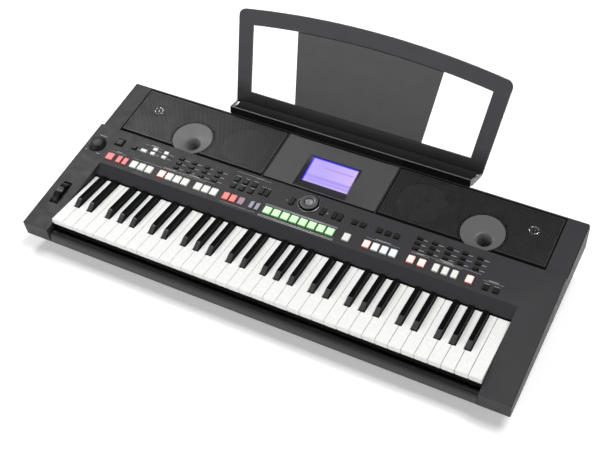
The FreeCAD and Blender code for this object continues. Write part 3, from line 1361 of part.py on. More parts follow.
def upper_case():
    """Shell with the key well cut out, inner walls, posts and sockets, and then every hole."""
    well = block("key_well", f"-{WELL}", "2 * cheek_front", "0", f"2 * {WELL}",
                 "panel_front - 2 * cheek_front", panel_z("panel_rear"))
    shell = cut_from("upper_opened", upper_shell(), [well])
    sockets, slots = rest_sockets()
    solid = fused("upper_solid", [shell, cheek_walls(), board_posts()] + screw_posts() + sockets)
    tools = [panel_holes()] + deck_holes() + slots + screw_bores()
    piece(cut_from("upper_case", solid, tools), "upper_case")


COUNTERBORE = "(screw_head + screw_clearance)"
SCREW_HOLE = "(screw_radius + screw_clearance)"
SIDE_LEAN = "tan(side_undercut)"
FRONT_LEAN = "tan(front_undercut)"


def tub_loft(name, floor, inset):
    """Solid from the parting plane down to a floor height, with leaning front and ends."""
    body = new_body(name)
    front_inset = f"({inset} / cos(front_undercut))"
    side_inset = f"({inset} / cos(side_undercut))"
    front = f"(cheek_foot + {front_inset})"
    rear = f"(rear_wall - {inset})"
    half = f"({HALF} - {side_inset})"
    rim = new_sketch(body, "XY_Plane", [rectangle(f"-{half}", f"{front} / cos(parting_slope)", half,
                                                  f"{rear} / cos(parting_slope)")])
    rim.AttachmentOffset = Placement(Vector(), Rotation(Vector(1, 0, 0), 1))
    rim.setExpression("AttachmentOffset.Base.z", bound("parting_datum"))
    rim.setExpression("AttachmentOffset.Rotation.Angle", bound("parting_slope"))
    foot_front = f"({front} + ({parting_z(front)} - {floor}) * {FRONT_LEAN})"
    front_half = f"({half} - ({parting_z(foot_front)} - {floor}) * {SIDE_LEAN})"
    rear_half = f"({half} - ({parting_z(rear)} - {floor}) * {SIDE_LEAN})"
    bottom = [
        (f"-{front_half}", foot_front),
        (front_half, foot_front),
        (rear_half, rear),
        (f"-{rear_half}", rear),
    ]
    base = new_sketch(body, "XY_Plane", [bottom], offset=floor)
    loft = body.newObject("PartDesign::AdditiveLoft", f"{name}_loft")
    loft.Profile = rim
    loft.Sections = [base]
    loft.Ruled = True
    return body


BOARD_FLOOR = f"({FLOOR} + standoff)"
BOARD_TOP = f"({BOARD_FLOOR} + board_sheet)"
JACK_FACE = "(rear_wall - tub_wall - jack_wall_gap)"
JACK_Z = f"({BOARD_TOP} + jack_size / 2)"
JACK_COUNT = 4
JACK_PLACES = [f"(jack_x + {index} * jack_pitch)" for index in range(JACK_COUNT)]


def board_corners(x_low, x_high, y_low, y_high):
    """Places of four standoffs inside the corners of a board."""
    inset = "2 * standoff_radius"
    return [(x, y) for x in (f"{x_low} + {inset}", f"{x_high} - {inset}")
            for y in (f"{y_low} + {inset}", f"{y_high} - {inset}")]


MAIN_BOARD = (
    "-main_board_half",
    "main_board_half",
    "main_board_front",
    "(main_board_front + main_board_depth)",
)
JACK_BOARD = (
    "jack_board_x",
    "(jack_board_x + jack_board_width)",
    f"({JACK_FACE} - jack_board_depth)",
    JACK_FACE,
)


def lower_case():
    """Tub with leaning walls: ribs under the key chassis, bosses, standoffs and holes for the sockets."""
    outside = tub_loft("lower_outside", "base_height", "0")
    inside = tub_loft("lower_inside", FLOOR, "tub_wall")
    tub = cut_from("lower_tub", outside, [inside])
    root = f"{FLOOR} - tub_wall / 2"
    adds = []
    for index, y in enumerate(("chassis_front + rib_from_front", "fulcrum - rib_from_fulcrum")):
        adds.append(block(f"chassis_rib_{index}", f"-{ACTION_LENGTH} / 2", y, root, ACTION_LENGTH, "tub_wall",
                          f"{CHASSIS} - ({root})"))
    for index, (x, y) in enumerate(POSTS):
        adds.append(rod(f"screw_boss_{index}", x, y, root, "post_radius + wall", f"{BOSS_TOP} - ({root})"))
    for index, (x, y) in enumerate(board_corners(*MAIN_BOARD) + board_corners(*JACK_BOARD)):
        adds.append(rod(f"standoff_{index}", x, y, root, "standoff_radius", f"{BOARD_FLOOR} - ({root})"))
    cradle_half = f"({EAR_FACE} + ear_sheet)"
    adds.append(block("cradle_boss", f"{WHEEL_X} - {cradle_half}", f"{WHEEL_Y} - ear_width / 2", root,
                      f"2 * {cradle_half}", "ear_width", f"{CRADLE_FOOT} - ({root})"))
    solid = fused("lower_solid", [tub] + adds)
    tools = []
    for index, (x, y) in enumerate(POSTS):
        tools.append(rod(f"lower_bore_{index}", x, y, "0", SCREW_HOLE, f"2 * {BOSS_TOP}"))
        tools.append(rod(f"counterbore_{index}", x, y, "0", COUNTERBORE, "base_height + counterbore"))
    holes = [many_sided(x, JACK_Z, "jack_nose + hole_gap") for x in JACK_PLACES + ["inlet_x"]]
    wall_holes = new_body("jack_holes")
    sketch = new_sketch(wall_holes, "XZ_Plane", holes, offset="-(rear_wall + tub_wall)")
    extrude(wall_holes, sketch, "3 * tub_wall")
    tools.append(wall_holes)
    piece(cut_from("lower_case", solid, tools), "lower_case")


def front_rail():
    """Rounded bar between the cheeks, below the key fronts."""
    rear = "(cheek_foot + rail_depth)"
    top = f"({parting_z('cheek_foot')} + rail_height)"
    section = [
        ("cheek_foot", parting_z("cheek_foot")),
        (rear, parting_z(rear)),
        (rear, top),
        ("cheek_foot + rail_round", top, ("rail_round", -1)),
        ("cheek_foot", f"{top} - rail_round"),
    ]
    piece(profile_piece("front_rail", section, f"2 * ({WELL} - rail_gap)"), "front_rail")


# Electronics on the floor

def flat_board(label, x_low, x_high, y_low, y_high):
    piece(plate(label, rectangle(x_low, y_low, x_high, y_high), BOARD_FLOOR, "board_sheet"), label)


def socket_solid(name, x, bore, pin=None):
    """A jack: body on the board, nose through the rear wall and a bore from the nose's end."""
    body = new_body(name)
    outline = rectangle(f"{x} - jack_size / 2", BOARD_TOP, f"{x} + jack_size / 2", f"{BOARD_TOP} + jack_size")
    extrude(body, new_sketch(body, "XZ_Plane", [outline], offset=f"-{JACK_FACE}"), "jack_body")
    nose = new_sketch(body, "XZ_Plane", [many_sided(x, JACK_Z, "jack_nose")], offset=f"-{JACK_FACE}")
    extrude(body, nose, "jack_nose_length", back=True)
    mouth = f"-({JACK_FACE} + jack_nose_length)"
    pins = [many_sided(x, JACK_Z, pin)] if pin else []
    drilled = new_sketch(body, "XZ_Plane", pins, [(x, JACK_Z, bore)], offset=mouth)
    body.Tip = extrude(body, drilled, "jack_bore_depth", cut=True, back=True)
    return body


def electronics():
    flat_board("main_board", *MAIN_BOARD)
    flat_board("jack_board", *JACK_BOARD)
    jacks = [socket_solid(f"jack_{index}", x, "jack_bore") for index, x in enumerate(JACK_PLACES)]
    piece(grouped("rear_jacks", jacks), "rear_jacks")
    piece(socket_solid("power_inlet", "inlet_x", "inlet_bore", "inlet_pin"), "power_inlet")


FOOT_SIDES = 16


def feet_and_screws():
    places = [(sign, y) for sign in SIDES.values() for y in ("foot_front", "foot_rear")]
    feet = []
    for index, (sign, y) in enumerate(places):
        x = f"{sign} * ({HALF} - foot_from_end)"
        feet.append(rod(f"foot_{index}", x, y, "0", "foot_radius", "base_height", FOOT_SIDES))
    piece(grouped("rubber_feet", feet), "rubber_feet")
    seat_z = "(base_height + counterbore)"
    screws = []
    for index, (x, y) in enumerate(POSTS):
        low = f"{seat_z} - screw_head_height"
        head = rod(f"screw_head_{index}", x, y, low, "screw_head", "screw_head_height")
        shank = rod(f"screw_shank_{index}", x, y, seat_z, "screw_radius", "screw_length")
        screws.append(fused(f"screw_{index}", [head, shank]))
    piece(grouped("case_screws", screws), "case_screws")


keyboard()
key_chassis()
key_contacts()
buttons()
turning_controls()
panel_boards()
pitch_wheel()
grilles()
port_rings()
speakers()
display()
music_rest()
upper_case()
lower_case()
front_rail()
electronics()
feet_and_screws()
doc.recompute()

failed = [item.Name for item in doc.Objects if "Invalid" in item.State or "Error" in item.State]
failed += [item.Label for item in pieces if item.Shape.isNull() or not item.Shape.isValid()]
if failed:
    raise RuntimeError(f"not built: {failed}")
os.makedirs("parts", exist_ok=True)
for item in pieces:
    item.Shape.exportStep(f"parts/{item.Label}.step")
print(len(pieces), "pieces written")
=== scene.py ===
"""Looks of a 61-key arranger keyboard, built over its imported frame."""
import json
import math

import bmesh
import bpy
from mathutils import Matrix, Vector


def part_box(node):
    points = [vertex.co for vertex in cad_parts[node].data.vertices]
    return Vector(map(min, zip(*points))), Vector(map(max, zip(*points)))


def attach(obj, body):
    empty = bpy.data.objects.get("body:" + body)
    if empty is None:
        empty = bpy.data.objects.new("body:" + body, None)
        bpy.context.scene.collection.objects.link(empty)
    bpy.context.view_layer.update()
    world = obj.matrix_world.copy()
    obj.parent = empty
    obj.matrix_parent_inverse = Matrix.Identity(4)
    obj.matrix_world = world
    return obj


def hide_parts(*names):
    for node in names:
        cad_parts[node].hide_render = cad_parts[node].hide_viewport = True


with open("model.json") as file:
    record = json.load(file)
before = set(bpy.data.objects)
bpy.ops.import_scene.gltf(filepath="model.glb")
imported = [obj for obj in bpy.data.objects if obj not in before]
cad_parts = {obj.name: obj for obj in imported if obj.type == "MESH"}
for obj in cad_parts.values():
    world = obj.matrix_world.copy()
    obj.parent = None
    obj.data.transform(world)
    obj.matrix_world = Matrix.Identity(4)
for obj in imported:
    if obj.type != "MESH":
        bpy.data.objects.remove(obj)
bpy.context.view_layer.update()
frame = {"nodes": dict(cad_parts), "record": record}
NODES = frame["nodes"]
RECORD = frame["record"]
BODY_OF = {node: body for body, nodes in RECORD["behaviour"]["bodies"].items() for node in nodes}
SLOTS = {entry["slot"] for entry in RECORD["materials"]}
JOINTS = {joint["name"]: joint for joint in RECORD["behaviour"]["joints"]}
SOCKETS = [mount for mount in RECORD["mounts"] if mount["kind"] == "bore"]
MM = 0.001


def pivot(joint):
    """The point on a hinge's axis that the record states."""
    return Vector(JOINTS[joint]["pos_m"])


UP = -Vector(JOINTS["style_buttons_press"]["axis"]).normalized()
ALONG = Vector((0, UP.z, -UP.y))
ACROSS = Vector((1, 0, 0))
KEY_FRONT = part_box("key_c")[0].y
DIAL = pivot("dial_turn")
DECK_STEP = 8.0
PANEL_FOOT = Vector((0, KEY_FRONT, DIAL.z - (DIAL.y - KEY_FRONT) * ALONG.z / ALONG.y))
DECK_FOOT = PANEL_FOOT - Vector((0, 0, DECK_STEP * MM))


def on_panel(x, along, above=0.0):
    """A point in millimetres across, along and above the control panel."""
    return PANEL_FOOT + (ACROSS * x + ALONG * along + UP * above) * MM


def on_deck(x, along, above=0.0):
    """A point in millimetres across, along and above the speaker deck."""
    return DECK_FOOT + (ACROSS * x + ALONG * along + UP * above) * MM


def panel_place(point):
    """Millimetres across, along and above the panel."""
    away = (point - PANEL_FOOT) / MM
    return away.x, away.dot(ALONG), away.dot(UP)


def deck_place(point):
    """Millimetres across, along and above the deck."""
    away = (point - DECK_FOOT) / MM
    return away.x, away.dot(ALONG), away.dot(UP)


def middle(node, place):
    """Middle of a frame piece across and along the panel or the deck, in millimetres."""
    x, along, _ = zip(*[place(vertex.co) for vertex in NODES[node].data.vertices])
    return (min(x) + max(x)) / 2, (min(along) + max(along)) / 2


# Materials


def linear(byte):
    """Linear light of an 8-bit display value."""
    part = byte / 255
    return part / 12.92 if part <= 0.04045 else ((part + 0.055) / 1.055) ** 2.4


def colour(red, green, blue):
    """Linear colour from 8-bit display values."""
    return (linear(red), linear(green), linear(blue), 1.0)


def scaled(tint, factor):
    """A colour made lighter or darker."""
    return tuple(min(1.0, part * factor) for part in tint[:3]) + (1.0,)


class Nodes:
    """Small helper that adds shader nodes and joins them up."""

    def __init__(self, name):
        self.material = bpy.data.materials.new(name)
        self.material.use_nodes = True
        self.tree = self.material.node_tree
        self.shader = self.tree.nodes["Principled BSDF"]
        self.place = self.add("ShaderNodeTexCoord").outputs["Object"]

    def add(self, kind, **settings):
        node = self.tree.nodes.new(kind)
        for key, setting in settings.items():
            setattr(node, key, setting)
        return node

    def join(self, output, target):
        self.tree.links.new(output, target)

    def set(self, **values):
        for key, setting in values.items():
            self.shader.inputs[key.replace("_", " ")].default_value = setting

    def noise(self, scale, detail):
        node = self.add("ShaderNodeTexNoise")
        node.inputs["Scale"].default_value = scale
        node.inputs["Detail"].default_value = detail
        self.join(self.place, node.inputs["Vector"])
        return node.outputs["Fac"]

    def spread(self, value, low, high, start=0.3, end=0.7):
        node = self.add("ShaderNodeMapRange")
        node.inputs["From Min"].default_value = start
        node.inputs["From Max"].default_value = end
        node.inputs["To Min"].default_value = low
        node.inputs["To Max"].default_value = high
        self.join(value, node.inputs["Value"])
        return node.outputs["Result"]

    def mix(self, value, first, second):
        node = self.add("ShaderNodeMix", data_type="RGBA")
        self.join(value, node.inputs["Factor"])
        for socket, tint in ((node.inputs["A"], first), (node.inputs["B"], second)):
            if isinstance(tint, tuple):
                socket.default_value = tint
            else:
                self.join(tint, socket)
        return node.outputs["Result"]

    def maths(self, operation, first, second=None):
        node = self.add("ShaderNodeMath", operation=operation)
        self.join(first, node.inputs[0])
        if second is not None:
            self.join(second, node.inputs[1])
        return node.outputs["Value"]

    def bump(self, value, depth):
        node = self.add("ShaderNodeBump")
        node.inputs["Strength"].default_value = 1.0
        node.inputs["Distance"].default_value = depth
        self.join(value, node.inputs["Height"])
        self.join(node.outputs["Normal"], self.shader.inputs["Normal"])


def plastic(name, tint, rough, tone=0.05, grain=1400, depth=0.00003, broad=7.0, spread=0.06, **values):
    """Moulded surface: slow tone changes, uneven gloss and a fine grain."""
    made = Nodes(name)
    made.join(
        made.mix(made.noise(broad, 4.0), scaled(tint, 1 - tone), scaled(tint, 1 + tone)),
        made.shader.inputs["Base Color"],
    )
    made.join(
        made.spread(made.noise(broad * 9, 5.0), rough - spread, rough + spread),
        made.shader.inputs["Roughness"],
    )
    made.bump(made.noise(grain, 2.0), depth)
    made.set(**values)
    return made.material


def painted_height_shading(name, tint, foot, low, high):
    """Moulded plastic with light and shade painted by height: the foot gets another tone, blended in between
    two heights in metres.
    """
    made = Nodes(name)
    split = made.add("ShaderNodeSeparateXYZ")
    made.join(made.place, split.inputs["Vector"])
    upper = made.mix(made.noise(7, 4.0), scaled(tint, 0.95), scaled(tint, 1.05))
    height = made.spread(split.outputs["Z"], 0.0, 1.0, low, high)
    made.join(made.mix(height, foot, upper), made.shader.inputs["Base Color"])
    made.join(made.spread(made.noise(60, 5.0), 0.34, 0.46), made.shader.inputs["Roughness"])
    made.bump(made.noise(900, 2.0), 0.00004)
    made.set(Specular_IOR_Level=0.3)
    return made.material


# Faint emission of the coloured caps: a glow that is painted light.
CAP_PAINTED_GLOW = 0.12


def glow_painted_plastic(name, tint):
    """Translucent cap plastic with a faint glow as painted light, slightly uneven."""
    made = Nodes(name)
    fac = made.noise(160, 2.0)
    made.join(made.mix(fac, scaled(tint, 0.94), tint), made.shader.inputs["Base Color"])
    made.join(made.spread(made.noise(700, 2.0), 0.28, 0.4), made.shader.inputs["Roughness"])
    made.join(made.mix(fac, scaled(tint, 0.92), tint), made.shader.inputs["Emission Color"])
    made.set(Emission_Strength=CAP_PAINTED_GLOW, Specular_IOR_Level=0.25)
    return made.material


REST_SHADE = (157 * MM, 186 * MM)
RAIL_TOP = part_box("front_rail")[1].z
RAIL_SHADE = (RAIL_TOP - 13.5 * MM, RAIL_TOP - 0.5 * MM)

CHARCOAL = plastic("charcoal", colour(49, 49, 51), 0.46, grain=1100, depth=0.00005, Specular_IOR_Level=0.22)
# Near black for the recess under the grilles: painted shade.
WELL_PAINTED_SHADE = plastic("well_painted_shade", colour(7, 7, 8), 0.8, depth=0.00002, Specular_IOR_Level=0.1)
# Rest plate: darker towards the trough as painted shade, blended in over the heights in REST_SHADE.
REST_GREY_PAINTED_SHADE = painted_height_shading("rest_grey", colour(62, 62, 65), colour(30, 30, 32), *REST_SHADE)
# Lighter grey for the rest's rounded edges: a painted highlight.
REST_EDGE_HIGHLIGHT = plastic("rest_edge_highlight", colour(98, 98, 102), 0.33, grain=900, depth=0.00002)
# Dark seam along the rest plate's grooves: painted shade.
REST_GROOVE_SHADE = plastic("rest_groove_shade", colour(18, 18, 19), 0.5)
INSERT_GREY = plastic("insert_grey", colour(66, 66, 68), 0.44, grain=900, depth=0.00004)
# Light grey of the trough's end stops, and of the bead on the lip, where it is a painted highlight.
STOP_GREY_BEAD_HIGHLIGHT = plastic("stop_grey_bead_highlight", colour(98, 98, 101), 0.3)
TROUGH_GREY = plastic("trough_grey", colour(27, 27, 28), 0.55, grain=900, depth=0.00004,
                      Specular_IOR_Level=0.15)
DISH_GREY = plastic("dish_grey", colour(124, 124, 126), 0.28, tone=0.08, broad=60)
DIAL_GREY = plastic("dial_grey", colour(76, 76, 78), 0.34, grain=1800, depth=0.00002, Specular_IOR_Level=0.3)
# Lighter grey of the wheel's thumb notch: a painted highlight.
WHEEL_PAINTED_HIGHLIGHT = plastic("wheel_painted_highlight", colour(74, 74, 76), 0.36)
# Near black for the seams round the grilles, their front band, the display's front band and the strip under
# the fallboard: painted shade.
PAINTED_SHADE_BLACK = plastic("painted_shade_black", colour(4, 4, 4), 0.9, Specular_IOR_Level=0.1)
BAR_GREY = plastic("bar_grey", colour(150, 150, 153), 0.36, broad=200, Metallic=0.3)
# Front rail: near black at the top under the keys as painted shade, lighter on the lower front as painted
# light.
RAIL_PAINTED_LIGHT_SHADE = painted_height_shading("rail_black", colour(9, 9, 9), colour(58, 58, 60), *RAIL_SHADE)
GRILLE = plastic("grille_paint", colour(24, 24, 25), 0.42, tone=0.08, depth=0.00001, Specular_IOR_Level=0.5)
PORT_GREY = plastic("port_grey", colour(92, 92, 93), 0.4, tone=0.03, grain=2400, depth=0.00001,
                    Specular_IOR_Level=0.3)
# Inside of the port tubes, lighter than the disc: painted light in the shaded bore.
PORT_BORE_PAINTED_LIGHT = plastic("port_bore_painted_light", colour(134, 134, 135), 0.6)
GLOSS_BLACK = plastic("gloss_black", colour(11, 11, 12), 0.2, grain=600, depth=0.00001, spread=0.04,
                      Specular_IOR_Level=0.25)
SATIN_BLACK = plastic("satin_black", colour(13, 13, 14), 0.4, grain=1500, depth=0.00002,
                      Specular_IOR_Level=0.25)
DARK_TOP = plastic("dark_top", colour(50, 50, 52), 0.4, grain=1800, depth=0.00002, Specular_IOR_Level=0.2)
KEY_EBONY = plastic("key_ebony", colour(9, 9, 10), 0.12, grain=900, depth=0.00001, spread=0.03)
# Lighter grey of the black keys' sloping fronts: a painted sheen.
EBONY_FRONT_PAINTED_SHEEN = plastic("ebony_front_painted_sheen", colour(58, 58, 60), 0.42, grain=1500, depth=0.00006)
EBONY_SIDE = plastic("ebony_side", colour(7, 7, 8), 0.5, grain=1500, depth=0.00002, Specular_IOR_Level=0.15)
SILVER = plastic("dial_silver", colour(150, 151, 154), 0.26, tone=0.03, Metallic=0.75)
BRIGHT = plastic("bright_metal", colour(205, 206, 210), 0.18, tone=0.03, Metallic=1.0)
STEEL = plastic("steel", colour(150, 152, 155), 0.32, Metallic=1.0)
BOARD = plastic("board_green", colour(28, 78, 50), 0.4, broad=60, tone=0.15)
RUBBER = plastic("rubber", colour(30, 30, 31), 0.75, grain=1600, depth=0.00004)
FELT = plastic("felt_red", colour(22, 9, 9), 0.95, grain=2600, depth=0.0002, tone=0.2, broad=80)
CONE = plastic("cone_black", colour(13, 13, 14), 0.7, grain=500, depth=0.0001)
PRINT = plastic("print_grey", colour(178, 178, 180), 0.5, broad=400, tone=0.12)
PRINT_BRIGHT = plastic("print_light", colour(205, 205, 205), 0.45, broad=400, tone=0.06)


def key_white():
    """White key plastic: nearly even, with a soft polish and very faint moulding waves."""
    made = Nodes("key_ivory")
    slow = made.noise(14, 3.0)
    made.join(made.mix(slow, colour(246, 246, 244), colour(248, 248, 246)),
              made.shader.inputs["Base Color"])
    made.join(made.spread(made.noise(90, 4.0), 0.22, 0.3), made.shader.inputs["Roughness"])
    made.bump(made.noise(40, 2.0), 0.00002)
    made.set(Subsurface_Weight=0.04, Subsurface_Scale=0.002)
    return made.material


KEY_IVORY = key_white()


def dotted(name, ground, raised):
    """Smooth panel moulded with a fine slanting pin-dot texture."""
    made = Nodes(name)
    turn = made.add("ShaderNodeMapping")
    turn.inputs["Rotation"].default_value = (0, 0, math.radians(32))
    made.join(made.place, turn.inputs["Vector"])
    waves = []
    for direction in ("X", "Y"):
        wave = made.add("ShaderNodeTexWave", bands_direction=direction)
        wave.inputs["Scale"].default_value = 260
        wave.inputs["Distortion"].default_value = 0
        made.join(turn.outputs["Vector"], wave.inputs["Vector"])
        waves.append(wave.outputs["Fac"])
    dots = made.spread(made.maths("MULTIPLY", *waves), 0.0, 1.0, 0.25, 0.6)
    made.join(made.mix(dots, ground, raised), made.shader.inputs["Base Color"])
    made.join(made.spread(made.noise(80, 4.0), 0.36, 0.48), made.shader.inputs["Roughness"])
    made.bump(dots, 0.00015)
    return made.material


DISPLAY_FACE = dotted("display_face", colour(50, 50, 51), colour(92, 92, 93))
DISPLAY_FRAME = plastic("display_frame", colour(44, 44, 45), 0.34, grain=1500, depth=0.00001,
                        Specular_IOR_Level=0.3)
LCD_BANDS = (
    # middle and half height, softness, left and right end, colour
    (0.255, 0.028, 0.06, -1.0, 2.0, (174, 156, 245)),
    (0.115, 0.020, 0.05, 0.1, 2.0, (179, 161, 246)),
    (0.70, 0.012, 0.03, 0.34, 0.93, (176, 159, 246)),
)
LCD_END_SOFTNESS = 0.04
LCD_TOP_EDGE = (0.935, 0.975)
LCD_LEFT_EDGE = (0.012, 0.04)


def lcd():
    """Lit screen: pale lilac field, soft bands, and a blue glow along its top and left edges."""
    made = Nodes("lcd_glow")
    split = made.add("ShaderNodeSeparateXYZ")
    grid = made.add("ShaderNodeTexCoord")
    made.join(grid.outputs["UV"], split.inputs["Vector"])
    across, upward = split.outputs["X"], split.outputs["Y"]
    field = made.mix(made.noise(45, 3.0), colour(188, 168, 247), colour(203, 182, 248))
    warm = made.mix(made.spread(across, 0.0, 1.0, 0.35, 1.1), field, colour(219, 195, 247))

    def band(value, middle, half, soft):
        """One inside a band, falling to nought over its soft border."""
        away = made.add("ShaderNodeMath", operation="SUBTRACT")
        made.join(value, away.inputs[0])
        away.inputs[1].default_value = middle
        size = made.maths("ABSOLUTE", away.outputs["Value"])
        return made.spread(size, 1.0, 0.0, half, half + soft)

    shown = warm
    for middle, half, soft, left, right, tint in LCD_BANDS:
        reach = band(across, (left + right) / 2, (right - left) / 2, LCD_END_SOFTNESS)
        inside = made.maths("MULTIPLY", band(upward, middle, half, soft), reach)
        shown = made.mix(inside, shown, colour(*tint))
    top = made.spread(upward, 0.0, 1.0, *LCD_TOP_EDGE)
    left_edge = made.spread(across, 1.0, 0.0, *LCD_LEFT_EDGE)
    bright = colour(48, 52, 255)
    shown = made.mix(top, shown, bright)
    shown = made.mix(left_edge, shown, bright)
    made.join(shown, made.shader.inputs["Emission Color"])
    made.join(made.mix(made.noise(400, 2.0), colour(40, 36, 80), colour(52, 46, 96)),
              made.shader.inputs["Base Color"])
    made.join(made.spread(made.noise(300, 2.0), 0.1, 0.16), made.shader.inputs["Roughness"])
    made.set(Emission_Strength=0.92)
    return made.material


LCD = lcd()

# Rim and top colour of the glowing caps: mostly a darker copy for the rim and sides, painted shade, and a
# lighter copy for the top, painted light; the red_lit caps have a red rim round a white top
CAPS = {
    "white": ((198, 198, 194), (226, 226, 222)),
    "red_lit": ((234, 128, 118), (250, 236, 230)),
    "pink": ((208, 86, 88), (230, 128, 128)),
    "red": ((214, 94, 90), (236, 136, 130)),
    "mauve": ((128, 102, 114), (166, 130, 142)),
    "grey": ((96, 96, 108), (150, 150, 164)),
    "green": ((120, 200, 118), (214, 242, 204)),
    "blue_white": ((196, 199, 207), (236, 237, 240)),
    "cream": ((204, 201, 194), (231, 230, 225)),
}
CAP_MATERIALS = {"black": [SATIN_BLACK, SATIN_BLACK]}
for cap, (rim, glow) in CAPS.items():
    CAP_MATERIALS[cap] = [glow_painted_plastic(f"cap_{cap}_rim", colour(*rim)),
                          glow_painted_plastic(f"cap_{cap}_glow", colour(*glow))]


# Mesh helpers


def settle(obj, body, slot, *nodes):
    """Puts a piece on its body after checking that its slot is known, and hides the frame pieces that it
    stands for.
    """
    if slot not in SLOTS:
        raise ValueError(f"no slot {slot}")
    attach(obj, body)
    if nodes:
        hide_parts(*nodes)


def mesh_object(name, bm, materials, sharp=30):
    """Object from a bmesh, shaded smooth with sharp edges kept."""
    for edge in bm.edges:
        edge.smooth = not edge.is_manifold or edge.calc_face_angle(0) < math.radians(sharp)
    for face in bm.faces:
        face.smooth = True
    mesh = bpy.data.meshes.new(name)
    bm.to_mesh(mesh)
    bm.free()
    if "custom_normal" in mesh.attributes:
        mesh.attributes.remove(mesh.attributes["custom_normal"])
    for material in materials:
        mesh.materials.append(material)
    obj = bpy.data.objects.new(name, mesh)
    bpy.context.scene.collection.objects.link(obj)
    return obj


JOIN_DISTANCE = 0.01 * MM
JOIN_ANGLE = math.radians(0.8)
ROUNDED_ANGLE = math.radians(28)


def clean_copy(node):
    """The frame piece's mesh with its facets joined up again."""
    bm = bmesh.new()
    bm.from_mesh(NODES[node].data)
    bmesh.ops.remove_doubles(bm, verts=bm.verts, dist=JOIN_DISTANCE)
    bmesh.ops.dissolve_limit(bm, angle_limit=JOIN_ANGLE, verts=bm.verts, edges=bm.edges)
    bmesh.ops.recalc_face_normals(bm, faces=bm.faces)
    return bm


def weigh(bm, picked):
    """Marks the convex edges that a bevel is to round."""
    layer = bm.edges.layers.float.new("bevel_weight_edge")
    for edge in bm.edges:
        convex = edge.is_manifold and edge.is_convex
        if convex and edge.calc_face_angle(0) > ROUNDED_ANGLE and picked(edge):
            edge[layer] = 1.0


def add_bevel(obj, width, segments, material=-1):
    """Rounds the marked edges."""
    bevel = obj.modifiers.new("soft_edges", "BEVEL")
    bevel.limit_method = "WEIGHT"
    bevel.offset_type = "OFFSET"
    bevel.width = width
    bevel.segments = segments
    bevel.use_clamp_overlap = True
    bevel.harden_normals = True
    bevel.material = material


def dress(node, slot, materials, width, segments, picked=lambda edge: True, paint=None, highlight_index=-1):
    """A softened copy of a frame piece that stands for it; an optional bevel material paints a highlight on
    its rounded edges.
    """
    bm = clean_copy(node)
    if paint:
        paint(bm)
    weigh(bm, picked)
    obj = mesh_object(f"{node}_skin", bm, materials)
    add_bevel(obj, width, segments, highlight_index)
    settle(obj, BODY_OF[node], slot, node)


def stitch(bm, rings, indices):
    """Joins rings of equal length by bands of quads, each with its own material index."""
    for lower, upper, index in zip(rings, rings[1:], indices):
        for step in range(len(lower)):
            after = (step + 1) % len(lower)
            bm.faces.new([lower[step], lower[after], upper[after], upper[step]]).material_index = index


def lathe(bm, origin, axis, profile, segments):
    """Turned surface about an axis; the profile is (radius, height, material) in millimetres."""
    axis = axis.normalized()
    side = axis.orthogonal().normalized()
    other = axis.cross(side)
    rings = []
    for radius, height, _ in profile:
        centre = origin + axis * height * MM
        if radius <= 0:
            rings.append([bm.verts.new(centre)])
            continue
        ring = []
        for step in range(segments):
            turn = 2 * math.pi * step / segments
            away = side * math.cos(turn) + other * math.sin(turn)
            ring.append(bm.verts.new(centre + away * radius * MM))
        rings.append(ring)
    for lower, upper, (_, _, index) in zip(rings, rings[1:], profile):
        for step in range(segments):
            after = (step + 1) % segments
            if len(lower) == 1:
                corners = [lower[0], upper[after], upper[step]]
            elif len(upper) == 1:
                corners = [lower[step], lower[after], upper[0]]
            else:
                corners = [lower[step], lower[after], upper[after], upper[step]]
            bm.faces.new(corners).material_index = index
    return bm


TURNED_SEGMENTS = 72


def turned_piece(name, origin, profile, materials, node, slot):
    """Control turned about the panel's upright, which stands for its frame piece."""
    bm = lathe(bmesh.new(), origin, UP, profile, TURNED_SEGMENTS)
    settle(mesh_object(name, bm, materials, sharp=35), BODY_OF[node], slot, node)


def prism(bm, first, second, index=0):
    """Closed solid between two loops of points."""
    top = [bm.verts.new(point) for point in first]
    low = [bm.verts.new(point) for point in second]
    bm.faces.new(top).material_index = index
    bm.faces.new(list(reversed(low))).material_index = index
    stitch(bm, [low, top], [index])


def bar(bm, x, along, width, depth, above, thickness, index=0):
    """Flat bar on the panel, given by its middle, its size and the height of its top."""
    half_x, half_y = width / 2, depth / 2
    corners = [(x - half_x, along - half_y), (x + half_x, along - half_y),
               (x + half_x, along + half_y), (x - half_x, along + half_y)]
    prism(bm, [on_panel(*corner, above) for corner in corners],
          [on_panel(*corner, above - thickness) for corner in corners], index)


# Case

LONG_EDGE = 20 * MM
WELL_FRONT, WELL_REAR = 255, 386
WELL_FLOOR, WELL_BRIM = -8, -1


def long_edge(edge):
    """Case edges that are long enough to show their rounding."""
    return edge.calc_length() > LONG_EDGE


def paint_case(bm):
    """Floor and walls of the recess under the grilles painted near black as painted shade."""
    for face in bm.faces:
        _, along, above = deck_place(face.calc_center_median())
        if WELL_FRONT < along < WELL_REAR and WELL_FLOOR < above < WELL_BRIM:
            face.material_index = 1


dress("upper_case", "case_charcoal", [CHARCOAL, WELL_PAINTED_SHADE], 0.9 * MM, 3, long_edge, paint_case)
dress("lower_case", "case_charcoal", [CHARCOAL], 1.2 * MM, 3, long_edge)
# The rail's tones are painted shade on top and painted light lower down.
dress("front_rail", "rail_black", [RAIL_PAINTED_LIGHT_SHADE], 2.2 * MM, 4, long_edge)


# Keys

FRONT_TURN, FRONT_RISE, SIDE_TURN = -0.4, 0.3, 0.7


def paint_black_key(bm):
    """The top is polished; the sloping front is painted a much lighter grey, a painted sheen of the light it
    catches, and the sides are left as moulded.
    """
    for face in bm.faces:
        if face.normal.y < FRONT_TURN and face.normal.z > FRONT_RISE:
            face.material_index = 1
        elif abs(face.normal.x) > SIDE_TURN:
            face.material_index = 2


